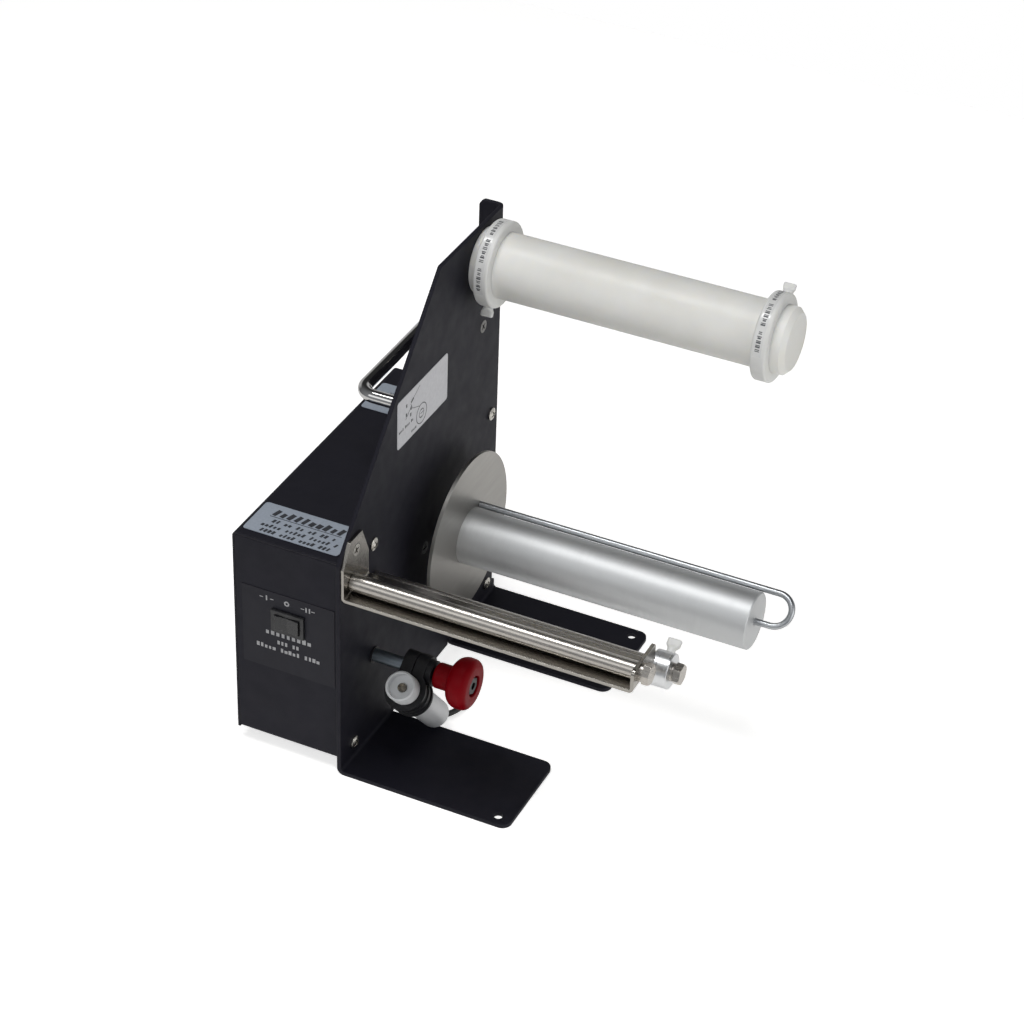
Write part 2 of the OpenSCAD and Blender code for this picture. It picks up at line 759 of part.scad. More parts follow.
// Natural plastic rod with a chamfered end and a tapped hole for its bolt
module supply_rod() {
    chamfer = 3;
    color([0.9, 0.9, 0.87]) placed() axis_x(0, supply_y, supply_z) difference() {
        union() {
            cylinder(d = supply_d, h = supply_l - chamfer);
            translate([0, 0, supply_l - chamfer])
                cylinder(d1 = supply_d, d2 = supply_d - 2 * chamfer, h = chamfer);
        }
        translate([0, 0, -1]) cylinder(d = supply_bolt_d + 2 * thread_gap, h = supply_hole_l + 1);
    }
}

module supply_washer() {
    color([0.75, 0.74, 0.72]) placed() axis_x(plate_left - washer_t, supply_y, supply_z)
        ring(2.2 * supply_bolt_d, supply_bolt_d + 2 * hole_gap, washer_t);
}

module supply_bolt() {
    shank = plate_t + washer_t + supply_hole_l - 2;
    color([0.75, 0.74, 0.72]) placed() translate([plate_left - washer_t, supply_y, supply_z])
        rotate([0, -90, 0]) hex_bolt(1.6 * supply_bolt_d, 0.65 * supply_bolt_d, supply_bolt_d, shank);
}

// Roll collar: a ring with rounded rims and a tapped cross hole
module roll_collar(x, angle) {
    rim = 1.6;
    color([0.93, 0.93, 0.92]) placed() axis_x(x, supply_y, supply_z) difference() {
        round_disc(collar_d / 2, collar_w, rim);
        translate([0, 0, -1]) cylinder(r = supply_d / 2 + run_gap, h = collar_w + 2);
        translate([0, 0, collar_w / 2]) rotate([0, 0, angle]) rotate([0, 90, 0])
            cylinder(d = thumb_d + 2 * run_gap, h = collar_d);
    }
}

// Thumb screw of a collar at radius r, so that its tip stays clear of the rod
module collar_thumb(x, w, y, z, rod_r, out_r, d, angle, sizes) {
    tip = rod_r + 0.3;
    placed() axis_x(x + w / 2, y, z) rotate([0, 0, angle]) rotate([0, 90, 0])
        translate([0, 0, tip]) rotate(90)
            thumb_screw(d, out_r - tip, sizes[0], sizes[1], sizes[2], thumb_paddle_t);
}

// Angles of the thumb screws in the frame of axis_x: from -Z towards +Y
inner_thumb_angle = -28;
outer_thumb_angle = 138;
guide_thumb_angle = 119;

// Neck height, paddle width and paddle height of the thumb screws
roll_thumb_sizes = [1, 8.4, 5];
guide_thumb_sizes = [2.5, 9, 6.5];
thumb_paddle_t = 3.4;

module inner_collar() {
    roll_collar(inner_collar_x, inner_thumb_angle);
}

module outer_collar() {
    roll_collar(outer_collar_x, outer_thumb_angle);
}

module inner_collar_screw() {
    color([0.92, 0.92, 0.9]) collar_thumb(inner_collar_x, collar_w, supply_y, supply_z,
        supply_d / 2, collar_d / 2, thumb_d, inner_thumb_angle, roll_thumb_sizes);
}

module outer_collar_screw() {
    color([0.92, 0.92, 0.9]) collar_thumb(outer_collar_x, collar_w, supply_y, supply_z,
        supply_d / 2, collar_d / 2, thumb_d, outer_thumb_angle, roll_thumb_sizes);
}

// Turned spindle, bored for the motor's shaft and for the clip
module take_up_spindle() {
    edge = 0.6;
    bore_l = shaft_out + 2;
    color([0.72, 0.74, 0.76]) placed() axis_x(spindle_x, spindle_y, spindle_z) difference() {
        union() {
            cylinder(d = spindle_d, h = spindle_l - edge);
            translate([0, 0, spindle_l - edge])
                cylinder(d1 = spindle_d, d2 = spindle_d - 2 * edge, h = edge);
        }
        translate([0, 0, -1]) cylinder(d = shaft_d + 2 * thread_gap, h = bore_l + 1);
        translate([0, 0, spindle_l - clip_hole_l]) cylinder(d = clip_d + 2 * run_gap, h = clip_hole_l + 1);
        translate([0, 0, spindle_l - 0.8]) cylinder(d1 = clip_d + 2 * run_gap, d2 = clip_d + 2.6, h = 0.81);
    }
}

module take_up_disc() {
    color([0.66, 0.64, 0.61]) placed() axis_x(disc_x, spindle_y, spindle_z)
        ring(disc_d, shaft_d + 2 * thread_gap, disc_t);
}

// Hub behind the disc, with a cross hole for its set screw
hub_l = 10;
set_screw_d = 5;

module spindle_hub() {
    color([0.6, 0.6, 0.6]) placed() axis_x(disc_x - hub_l, spindle_y, spindle_z) difference() {
        cylinder(d = hub_d, h = hub_l);
        translate([0, 0, -1]) cylinder(d = shaft_d + 2 * thread_gap, h = hub_l + 2);
        translate([0, 0, hub_l / 2]) rotate([0, 90, 0])
            cylinder(d = set_screw_d + 2 * thread_gap, h = hub_d);
    }
}

module hub_set_screw() {
    tip = shaft_d / 2 + thread_gap;
    color([0.2, 0.2, 0.2]) placed() axis_x(disc_x - hub_l / 2, spindle_y, spindle_z) rotate([0, 90, 0])
        translate([0, 0, tip]) difference() {
            cylinder(d = set_screw_d, h = hub_d / 2 - tip - 1);
            translate([0, 0, hub_d / 2 - tip - 3]) cylinder(d = 2.6, h = 3, $fn = 6);
        }
}

// Hairpin of wire: one leg along the spindle, the other in the hole in its end
module wire_clip() {
    color([0.78, 0.79, 0.8]) placed() translate([0, spindle_y, spindle_z]) rotate([clip_angle, 0, 0]) {
        start_x = spindle_x + clip_gap;
        inner_x = spindle_end - clip_inner_l;
        axis_x(start_x, clip_r, 0) cylinder(d = clip_d, h = clip_bend_x - start_x + eps);
        translate([clip_bend_x, clip_r / 2, 0]) rotate([0, 0, -90]) rotate_extrude(angle = 180)
            translate([clip_r / 2, 0]) circle(d = clip_d);
        axis_x(inner_x, 0, 0) cylinder(d = clip_d, h = clip_bend_x - inner_x + eps);
    }
}

// Gearbox with a boss in the plate's hole, in a ring of bosses for its screws
module gearbox() {
    color([0.55, 0.56, 0.58]) placed() axis_x(motor_x, spindle_y, spindle_z) difference() {
        union() {
            round_disc(gearbox_d / 2, gearbox_l, 1);
            translate([0, 0, gearbox_l - eps]) cylinder(d = boss_d, h = plate_t + 1);
            for (a = gear_screw_angles()) {
                rotate(a) translate([gear_screw_r, 0, gearbox_l - eps]) cylinder(d = 9, h = 1 + eps);
            }
        }
        translate([0, 0, gearbox_l - 14]) cylinder(d = bush_d(), h = 30);
        for (a = gear_screw_angles()) {
            rotate(a) translate([gear_screw_r, 0, gearbox_l - 8])
                cylinder(d = case_screw_d + 2 * thread_gap, h = 20);
        }
    }
}

function bush_d() = shaft_d + 5;

module gearbox_bush() {
    bush_in = 13.5;
    color([0.75, 0.6, 0.35]) placed() axis_x(gear_x - bush_in, spindle_y, spindle_z)
        ring(bush_d() - 2 * thread_gap, shaft_d + 2 * run_gap, bush_in + plate_t);
}

module gearbox_screws() {
    color([0.3, 0.3, 0.3]) placed() axis_x(0, spindle_y, spindle_z) for (a = gear_screw_angles()) {
        rotate(a) translate([gear_screw_r, 0, 0]) flush_screw(case_screw_d, plate_t + flush_thread_l);
    }
}

function motor_end() = motor_x - motor_l - seat_gap;

module motor() {
    color([0.62, 0.62, 0.64]) placed() axis_x(motor_end(), spindle_y, spindle_z + motor_offset)
        round_disc(motor_d / 2, motor_l, 1.2);
}

module motor_end_cap() {
    cap_l = 3.5;
    color([0.12, 0.12, 0.12]) placed()
        translate([motor_end() - seat_gap, spindle_y, spindle_z + motor_offset]) rotate([0, -90, 0]) {
            cylinder(d = motor_d - 6, h = cap_l);
            for (s = [-1, 1]) {
                translate([-1.2, s * 9 - 0.4, cap_l - eps]) cube([2.4, 0.8, 4]);
            }
        }
}

module output_shaft() {
    color([0.7, 0.7, 0.72]) placed() axis_x(gear_x - shaft_in, spindle_y, spindle_z)
        cylinder(d = shaft_d, h = spindle_x - gear_x + shaft_in + shaft_out);
}

// Circuit board on four standoffs on the case's floor
board_x = -60;
board_y = 36;
board_w = 44;
board_l = 72;
board_t = 1.6;
board_gap = 6;
board_z = case_z + case_t + board_gap;

function standoff_places() = [for (x = [board_x + 4, board_x + board_w - 4])
    for (y = [board_y + 4, board_y + board_l - 4]) [x, y]];

module control_board() {
    color([0.1, 0.35, 0.2]) placed() difference() {
        translate([board_x, board_y, board_z]) cube([board_w, board_l, board_t]);
        for (p = standoff_places()) translate([p[0], p[1], board_z - 1]) cylinder(d = 3.4, h = board_t + 2);
    }
}

// Heat sink, two capacitors, relay and two connectors, standing on the board
module board_parts() {
    top = board_z + board_t;
    sink_w = 22;
    sink_t = 3;
    sink_h = 22;
    fin_count = 5;
    fin_t = 2;
    fin_l = 8;
    cap_d = 11;
    cap_h = 20;
    relay_size = [15, 19, 15];
    plug_size = [10, 12, 9];
    tab_size = [6, 8, 1];
    color([0.25, 0.27, 0.3]) placed() {
        translate([board_x + 8, board_y + 12, top]) {
            cube([sink_w, sink_t, sink_h]);
            for (i = [0:fin_count - 1]) {
                translate([i * (sink_w - fin_t) / (fin_count - 1), sink_t - eps, 0])
                    cube([fin_t, fin_l, sink_h]);
            }
        }
        for (y = [32, 46]) translate([board_x + 14, board_y + y, top]) cylinder(d = cap_d, h = cap_h);
        translate([board_x + 24, board_y + 28, top]) cube(relay_size);
        translate([board_x + 24, board_y + 52, top]) cube(plug_size);
        translate([board_x + board_w - tab_size[0], board_y + 55, top]) cube(tab_size);
    }
}

module board_standoffs() {
    color([0.7, 0.65, 0.45]) placed() for (p = standoff_places()) {
        translate([p[0], p[1], case_z]) cylinder(d = standoff_tail(), h = case_t + eps);
        translate([p[0], p[1], case_z + case_t]) cylinder(d = 6, h = board_gap);
        translate([p[0], p[1], board_z - eps]) cylinder(d = 3, h = board_t + eps);
        translate([p[0], p[1], board_z + board_t]) cylinder(d = 5.5, h = 2);
    }
}

// Round power socket in the rear wall: flange outside, threaded body and pin
module power_socket() {
    color([0.08, 0.08, 0.09]) placed() translate([socket_x(), case_back, socket_z()]) rotate([90, 0, 0]) {
        difference() {
            union() {
                translate([0, 0, -1.6]) cylinder(d = socket_d() + 3, h = 1.6);
                translate([0, 0, -eps]) cylinder(d = socket_d(), h = 14);
            }
            translate([0, 0, -2]) cylinder(d = 5.6, h = 12);
        }
        translate([0, 0, -1]) cylinder(d = 2.1, h = 12);
    }
}

module socket_nut() {
    color([0.7, 0.7, 0.7]) placed() translate([socket_x(), case_back - case_t, socket_z()])
        rotate([90, 0, 0]) difference() {
            cylinder(d = 16, h = 2.5, $fn = 6);
            translate([0, 0, -1]) cylinder(d = socket_d() + 2 * thread_gap, h = 5);
        }
}

// Polished sheet bent to a U: a low web between a tapered left ear and a low right ear
module strip_bracket() {
    r_out = strip_bend_r + strip_t;
    half = strip_end / 2;
    color([0.74, 0.72, 0.69]) placed() difference() {
        union() {
            along_y(strip_front, strip_w) {
                translate([0, strip_z]) bent_section(strip_t, strip_bend_r, half, r_out + eps);
                translate([strip_end, strip_z]) mirror([1, 0])
                    bent_section(strip_t, strip_bend_r, half, r_out + eps);
            }
            along_x(0, strip_t) translate([strip_front, strip_z]) left_ear_outline(r_out);
            along_x(strip_end - strip_t, strip_t) translate([strip_front, strip_z]) difference() {
                translate([0, r_out]) square([strip_w, right_ear_h - r_out]);
                translate([0, right_ear_h]) rotate(-90) corner_waste(3);
                translate([strip_w, right_ear_h]) rotate(180) corner_waste(2);
            }
        }
        axis_x(-1, strip_rod_y, strip_rod_z) cylinder(d = rod_bolt_d + 2 * hole_gap, h = strip_end + 2);
        axis_x(strip_t, bracket_screw_y(), bracket_screw_z()) flush_seat(case_screw_d, strip_t + 2);
    }
}

module left_ear_outline(r_out) {
    top_y0 = strip_w * 0.27;
    top_y1 = strip_w * 0.75;
    polygon([
        [0, r_out], [0, left_ear_h * 0.6], [top_y0, left_ear_h], [top_y1, left_ear_h],
        [strip_w, left_ear_h * 0.52], [strip_w, r_out]
    ]);
}

module bracket_screw() {
    color([0.75, 0.74, 0.72]) placed() axis_x(strip_t, bracket_screw_y(), bracket_screw_z()) rotate(15)
        flush_screw(case_screw_d, strip_t + plate_t);
}

// Rod between the ears, with tapped ends and chamfers
module plain_rod(x, y, z, l) {
    c = 0.5;
    tap_l = bolt_thread_l + 5;
    color([0.78, 0.76, 0.73]) placed() axis_x(x, y, z) difference() {
        union() {
            cylinder(d1 = rod_d - 2 * c, d2 = rod_d, h = c);
            translate([0, 0, c]) cylinder(d = rod_d, h = l - 2 * c);
            translate([0, 0, l - c]) cylinder(d1 = rod_d, d2 = rod_d - 2 * c, h = c);
        }
        translate([0, 0, -1]) cylinder(d = rod_bolt_d + 2 * thread_gap, h = tap_l + 1);
        translate([0, 0, l - tap_l]) cylinder(d = rod_bolt_d + 2 * thread_gap, h = tap_l + 1);
    }
}

module strip_rod() {
    plain_rod(strip_t, strip_rod_y, strip_rod_z, strip_end - 2 * strip_t);
}

module guide_rod() {
    plain_rod(0, guide_rod_y, guide_rod_z, guide_rod_l);
}

// Two bolts from inside the case into the rods
module inner_rod_bolts() {
    color([0.7, 0.69, 0.67]) placed() {
        translate([plate_left, strip_rod_y, strip_rod_z]) rotate([0, -90, 0])
            hex_bolt(hex_af, bolt_head_h, rod_bolt_d, plate_t + strip_t + bolt_thread_l);
        translate([plate_left, guide_rod_y, guide_rod_z]) rotate([0, -90, 0])
            hex_bolt(hex_af, bolt_head_h, rod_bolt_d, plate_t + bolt_thread_l);
    }
}

// Two bolts in the rods' free ends
module outer_rod_bolts() {
    color([0.7, 0.69, 0.67]) placed() {
        axis_x(strip_end + washer_t, strip_rod_y, strip_rod_z) rotate(12)
            hex_bolt(hex_af, bolt_head_h, rod_bolt_d, washer_t + strip_t + bolt_thread_l);
        axis_x(guide_rod_l, guide_rod_y, guide_rod_z) rotate(40)
            hex_bolt(hex_af, bolt_head_h, rod_bolt_d, bolt_thread_l);
    }
}

module rod_washer() {
    color([0.66, 0.65, 0.63]) placed() axis_x(strip_end, strip_rod_y, strip_rod_z)
        ring(rod_d + 0.4, rod_bolt_d + 2 * hole_gap, washer_t);
}

module guide_collar() {
    color([0.85, 0.86, 0.87]) placed() axis_x(guide_collar_x, guide_rod_y, guide_rod_z) difference() {
        round_disc(guide_collar_d / 2, guide_collar_w, 0.5);
        translate([0, 0, -1]) cylinder(r = rod_d / 2 + run_gap, h = guide_collar_w + 2);
        translate([0, 0, guide_collar_w / 2]) rotate([0, 0, guide_thumb_angle]) rotate([0, 90, 0])
            cylinder(d = guide_thumb_d + 2 * run_gap, h = guide_collar_d);
    }
}

module guide_collar_screw() {
    color([0.92, 0.92, 0.9]) collar_thumb(guide_collar_x, guide_collar_w, guide_rod_y, guide_rod_z,
        rod_d / 2, guide_collar_d / 2, guide_thumb_d, guide_thumb_angle, guide_thumb_sizes);
}

// Stud: plain from the plate to its shoulder, then threaded through the clamp into the knob
module sensor_stud() {
    color([0.5, 0.53, 0.56]) placed() {
        axis_x(stud_washer_t, stud_y, stud_z) cylinder(d = stud_d, h = clamp_x - seat_gap - stud_washer_t);
        axis_x(plate_left - 7, stud_y, stud_z) cylinder(d = thread_d, h = stud_end - plate_left + 7);
    }
}

module stud_washer() {
    color([0.15, 0.15, 0.15]) placed() axis_x(0, stud_y, stud_z)
        ring(stud_d + 2.4, thread_d + 2 * hole_gap, stud_washer_t);
}

module stud_nut() {
    color([0.7, 0.69, 0.67]) placed() axis_x(plate_left - 5, stud_y, stud_z) difference() {
        cylinder(d = 10 / cos(30), h = 5, $fn = 6);
        translate([0, 0, -1]) cylinder(d = thread_d + 2 * thread_gap, h = 7);
    }
}

// Frame of the clamp: origin on the stud, +Y towards the sensor's rear end, +Z from sensor to stud
module at_clamp() {
    translate([clamp_mid, stud_y, stud_z]) rotate([-sensor_tilt, 0, 0]) children();
}

// Children whose axis is +Z are turned to the sensor's axis, z = 0 at its front end
module on_sensor() {
    translate([0, sensor_front, -clamp_reach]) rotate([-90, 0, 0]) children();
}

// Moulded clamp: a ribbed ring round the sensor and two lugs on the stud, split between them
module sensor_clamp() {
    rim_w = 2.2;
    end_r = clamp_w / 2;
    color([0.08, 0.08, 0.09]) placed() at_clamp() difference() {
        union() {
            on_sensor() translate([0, 0, clamp_back - clamp_w / 2]) {
                cylinder(r = ring_r, h = clamp_w);
                for (z = [0, (clamp_w - rim_w) / 2, clamp_w - rim_w]) {
                    translate([0, 0, z]) cylinder(r = ring_r + clamp_rim, h = rim_w);
                }
            }
            along_x(-lug_t - lug_gap, 2 * lug_t + clamp_slit) union() {
                translate([0, lug_top]) circle(end_r);
                translate([-end_r, -clamp_reach + sensor_r])
                    square([clamp_w, clamp_reach - sensor_r + lug_top]);
            }
        }
        on_sensor() translate([0, 0, -1]) cylinder(r = sensor_r + run_gap, h = sensor_l + 2);
        translate([-clamp_slit / 2, -clamp_w, -clamp_reach])
            cube([clamp_slit, 2 * clamp_w, 2 * clamp_reach + clamp_w]);
        axis_x(-20, 0, 0) cylinder(d = thread_d + 2 * run_gap, h = 40);
        // Seat of the knob's washer in the ring's rims
        axis_x(lug_t + lug_gap, 0, 0) cylinder(d = knob_washer_d + 1, h = 20);
    }
}

// Sensor: a barrel with a cup in its front end and a rounded rear end with the cable's hole
module sensor_body() {
    edge = 4;
    color([0.62, 0.64, 0.66]) placed() at_clamp() on_sensor() difference() {
        rotate_extrude() {
            translate([0, 0.6]) square([sensor_r, sensor_l - edge - 0.6]);
            square([sensor_r - 0.6, 1]);
            square([sensor_r - edge, sensor_l]);
            translate([sensor_r - edge, sensor_l - edge]) circle(edge);
        }
        translate([0, 0, -1]) cylinder(d = cup_d, h = cup_depth + 1);
        translate([0, 0, cup_depth - eps]) cylinder(d = lens_d() + 2 * thread_gap, h = 3);
        translate([0, 0, sensor_l - 11]) cylinder(d = cable_d + 0.6, h = 12);
    }
}

function lens_d() = 5.2;

module sensor_lens() {
    color([0.45, 0.43, 0.38]) placed() at_clamp() on_sensor() translate([0, 0, cup_depth - 1.4])
        difference() {
            cylinder(d = lens_d(), h = 4);
            translate([0, 0, -1]) cylinder(d = lens_d() - 2, h = 2);
        }
}

module sensor_cable() {
    color([0.05, 0.05, 0.05]) placed() swept_tube(cable_path, cable_d / 2, cable_sides);
}

// Rubber grommet with a groove that holds the plate's sheet
module cable_grommet() {
    lip = 1.4;
    color([0.06, 0.06, 0.06]) placed() axis_x(plate_left - lip, grommet_y, grommet_z) difference() {
        union() {
            cylinder(d = grommet_d + 2 * lip, h = lip);
            cylinder(d = grommet_d - 2 * thread_gap, h = plate_t + 2 * lip);
            translate([0, 0, plate_t + lip]) cylinder(d = grommet_d + 2 * lip, h = lip);
        }
        translate([0, 0, -1]) cylinder(d = cable_d + 0.6, h = plate_t + 2 * lip + 2);
    }
}

// Disc along +Z whose two rims are rounded to different radii
module mushroom(r, h, low, high) {
    rotate_extrude() {
        square([r - low, h]);
        square([r - high, h]);
        translate([0, low]) square([r, h - low - high]);
        intersection() {
            translate([r - low, low]) circle(low);
            square([r, h]);
        }
        translate([r - high, h - high]) circle(high);
    }
}

// Knob: a mushroom on a neck, bored for its insert
module knob() {
    back_rim = knob_h * 0.58;
    front_rim = knob_h * 0.38;
    recess_d = 13;
    color([0.5, 0.07, 0.11]) placed() axis_x(neck_x, stud_y, stud_z) difference() {
        union() {
            round_disc(knob_neck_d / 2, knob_neck_l + 2, 1.6);
            translate([0, 0, knob_neck_l]) mushroom(knob_d / 2, knob_h, back_rim, front_rim);
        }
        translate([0, 0, -1]) cylinder(d = insert_d() + 2 * thread_gap, h = knob_neck_l + knob_h + 2);
        translate([0, 0, knob_neck_l + knob_h - knob_recess]) cylinder(d = recess_d, h = knob_recess + 1);
    }
}

function insert_d() = 9;

// Steel bush with a hexagon head in the knob's recess, threaded on the stud
module knob_insert() {
    total = bush_l + knob_neck_l + knob_h - knob_recess;
    color([0.14, 0.15, 0.16]) placed() axis_x(insert_x, stud_y, stud_z) difference() {
        union() {
            cylinder(d = insert_d(), h = total + eps);
            translate([0, 0, total]) cylinder(d = 9.6 / cos(30), h = 2.4, $fn = 6);
        }
        translate([0, 0, -1]) cylinder(d = thread_d + 2 * run_gap, h = total - 2);
        translate([0, 0, total]) cylinder(d = 4.6, h = 4);
    }
}

module knob_washer() {
    color([0.09, 0.09, 0.1]) placed() axis_x(washer_x, stud_y, stud_z)
        ring(knob_washer_d, thread_d + 2 * run_gap, knob_washer_t);
}

side_plate();
case_tray();
case_cover();
case_screws();
cover_screws();
switch_panel();
switch_body();
rocker();
front_label();
rear_label();
side_label();
carry_handle();
handle_screws();
supply_rod();
supply_bolt();
supply_washer();
inner_collar();
inner_collar_screw();
outer_collar();
outer_collar_screw();
take_up_spindle();
take_up_disc();
spindle_hub();
hub_set_screw();
wire_clip();
gearbox();
gearbox_bush();
gearbox_screws();
motor();
motor_end_cap();
output_shaft();
control_board();
board_parts();
board_standoffs();
power_socket();
socket_nut();
strip_bracket();
bracket_screw();
strip_rod();
guide_rod();
inner_rod_bolts();
outer_rod_bolts();
rod_washer();
guide_collar();
guide_collar_screw();
sensor_stud();
stud_washer();
stud_nut();
sensor_clamp();
sensor_body();
sensor_lens();
sensor_cable();
cable_grommet();
knob();
knob_insert();
knob_washer();
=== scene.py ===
import json
import math
import bmesh
import bpy
import numpy as np
from mathutils import Matrix, Vector


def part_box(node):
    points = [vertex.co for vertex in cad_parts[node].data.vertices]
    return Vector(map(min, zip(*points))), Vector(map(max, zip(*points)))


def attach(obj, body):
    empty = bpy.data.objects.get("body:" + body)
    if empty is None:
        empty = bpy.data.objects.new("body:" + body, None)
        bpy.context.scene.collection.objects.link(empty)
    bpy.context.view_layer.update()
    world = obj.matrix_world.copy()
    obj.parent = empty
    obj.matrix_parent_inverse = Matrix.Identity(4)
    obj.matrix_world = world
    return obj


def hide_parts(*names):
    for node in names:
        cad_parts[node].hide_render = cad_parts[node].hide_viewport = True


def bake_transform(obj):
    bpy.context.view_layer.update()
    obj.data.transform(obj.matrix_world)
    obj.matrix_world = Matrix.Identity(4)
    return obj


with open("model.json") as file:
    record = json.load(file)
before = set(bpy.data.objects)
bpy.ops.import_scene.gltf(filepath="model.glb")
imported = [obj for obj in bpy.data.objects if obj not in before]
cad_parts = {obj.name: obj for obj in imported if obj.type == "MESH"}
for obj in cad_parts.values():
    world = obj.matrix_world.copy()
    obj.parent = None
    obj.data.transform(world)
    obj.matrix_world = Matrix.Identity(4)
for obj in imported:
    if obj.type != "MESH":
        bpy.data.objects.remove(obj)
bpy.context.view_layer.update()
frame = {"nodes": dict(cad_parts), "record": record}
print("frame loaded:", len(frame["nodes"]), "CAD nodes")

plateOrigin = np.array([99.0, 103.0, 0.0])  # of the row frame, in plate coordinates (mm)


def toRow(points):
    # Plate coordinates in mm, as the CAD was drawn, to the row frame in metres
    return (np.asarray(points, float) - plateOrigin) / 1000


def toPlate(point):
    return np.array(point, float) * 1000 + plateOrigin


# Camera at the photo's place
cameraLook = {
    "place": (624.79, -1151.19, 1105.73),
    "azimuth": 24.34,
    "elevation": 34.975,
    "roll": 2.025,
    "lens": 102.29,
    "sensor": 36,
    "nearest": 0.05,
    "farthest": 20,
}


def makeCamera(look):
    azimuth, elevation, roll = (math.radians(look[k]) for k in ("azimuth", "elevation", "roll"))
    right = Vector((math.cos(azimuth), math.sin(azimuth), 0))
    back = Vector((math.sin(azimuth) * math.cos(elevation),
                   -math.cos(azimuth) * math.cos(elevation), math.sin(elevation)))
    up = back.cross(right)
    cameraRight = right * math.cos(roll) + up * math.sin(roll)
    cameraUp = up * math.cos(roll) - right * math.sin(roll)
    data = bpy.data.cameras.new("photoCamera")
    data.lens = look["lens"]
    data.sensor_width = look["sensor"]
    data.clip_start = look["nearest"]
    data.clip_end = look["farthest"]
    camera = bpy.data.objects.new("photoCamera", data)
    bpy.context.scene.collection.objects.link(camera)
    turn = Matrix((cameraRight, cameraUp, back)).transposed().to_4x4()
    camera.matrix_world = Matrix.Translation(Vector(toRow(look["place"]))) @ turn
    bpy.context.scene.camera = camera


makeCamera(cameraLook)
bpy.context.scene.view_settings.view_transform = "Standard"


# Shared by all finishes. Noises are (scale, detail, roughness), or without the scale where the look
# gives it. Stops and spreads are shares from nought to one, depths and widths are in metres
finishLook = {
    "toneNoise": (4, 0.55),
    "toneStops": (0.3, 0.7),
    "dustNoise": (55, 5, 0.7),
    "dustSpread": (0.42, 0.78),
    "wearNoise": (160, 4, 0.6),
    "wearSpread": (0.4, 0.65),
    "wearLeast": 0.15,
    "wearWidth": 0.0006,
    "edgeSpread": (0.02, 0.25),
    "edgeSamples": 6,
    "topSpread": (0.4, 0.95),
    "roughScale": 2.3,
    "grainNoise": (2, 0.6),
    "grainDepth": 0.0002,
    "lineNoise": (5, 0.65),
    "lineStops": (0.25, 0.8),
    "lineDepth": 0.0001,
    "cloudScale": 30,
}


# Shader helpers
def newMaterial(name):
    material = bpy.data.materials.new(name)
    material.use_nodes = True
    tree = material.node_tree
    shader = next(n for n in tree.nodes if n.type == "BSDF_PRINCIPLED")
    return material, tree, shader


def objectPoint(tree, stretch=(1, 1, 1)):
    point = tree.nodes.new("ShaderNodeTexCoord")
    mapping = tree.nodes.new("ShaderNodeMapping")
    mapping.inputs["Scale"].default_value = stretch
    tree.links.new(point.outputs["Object"], mapping.inputs["Vector"])
    return mapping.outputs["Vector"]


def noise(tree, vector, scale, detail=3, rough=0.5):
    node = tree.nodes.new("ShaderNodeTexNoise")
    node.inputs["Scale"].default_value = scale
    node.inputs["Detail"].default_value = detail
    node.inputs["Roughness"].default_value = rough
    tree.links.new(vector, node.inputs["Vector"])
    return node.outputs["Fac"]


def ramp(tree, value, first, second):
    # From one colour to another, each given as (place, colour)
    node = tree.nodes.new("ShaderNodeValToRGB")
    for element, (place, colour) in zip(node.color_ramp.elements, (first, second)):
        element.position = place
        element.color = (*colour, 1)
    tree.links.new(value, node.inputs["Fac"])
    return node.outputs["Color"]


def spread(tree, value, low, high, fromLow=0.3, fromHigh=0.7):
    # A straight line through (fromLow, low) and (fromHigh, high), held at both ends
    node = tree.nodes.new("ShaderNodeMapRange")
    node.inputs["From Min"].default_value = fromLow
    node.inputs["From Max"].default_value = fromHigh
    node.inputs["To Min"].default_value = low
    node.inputs["To Max"].default_value = high
    tree.links.new(value, node.inputs["Value"])
    return node.outputs["Result"]


def bump(tree, height, strength, distance, under=None):
    node = tree.nodes.new("ShaderNodeBump")
    node.inputs["Strength"].default_value = strength
    node.inputs["Distance"].default_value = distance
    tree.links.new(height, node.inputs["Height"])
    if under is not None:
        tree.links.new(under, node.inputs["Normal"])
    return node.outputs["Normal"]


def roundedNormal(tree, radius):
    node = tree.nodes.new("ShaderNodeBevel")
    node.samples = finishLook["edgeSamples"]
    node.inputs["Radius"].default_value = radius
    return node.outputs["Normal"]


def mathNode(tree, operation, first, second=None):
    node = tree.nodes.new("ShaderNodeMath")
    node.operation = operation
    for value, place in ((first, 0), (second, 1)):
        if value is None:
            continue
        if isinstance(value, (int, float)):
            node.inputs[place].default_value = value
        else:
            tree.links.new(value, node.inputs[place])
    return node.outputs["Value"]


def edgeMask(tree, radius):
    # One minus the dot of the rounded and the true normal: above nought only beside an edge
    geometry = tree.nodes.new("ShaderNodeNewGeometry")
    dot = tree.nodes.new("ShaderNodeVectorMath")
    dot.operation = "DOT_PRODUCT"
    tree.links.new(roundedNormal(tree, radius), dot.inputs[0])
    tree.links.new(geometry.outputs["True Normal"], dot.inputs[1])
    return spread(tree, mathNode(tree, "SUBTRACT", 1.0, dot.outputs["Value"]), 0, 1,
                  *finishLook["edgeSpread"])


def facingUp(tree):
    # Nought on walls and undersides, one on level tops
    geometry = tree.nodes.new("ShaderNodeNewGeometry")
    parts = tree.nodes.new("ShaderNodeSeparateXYZ")
    tree.links.new(geometry.outputs["Normal"], parts.inputs["Vector"])
    return spread(tree, parts.outputs["Z"], 0, 1, *finishLook["topSpread"])


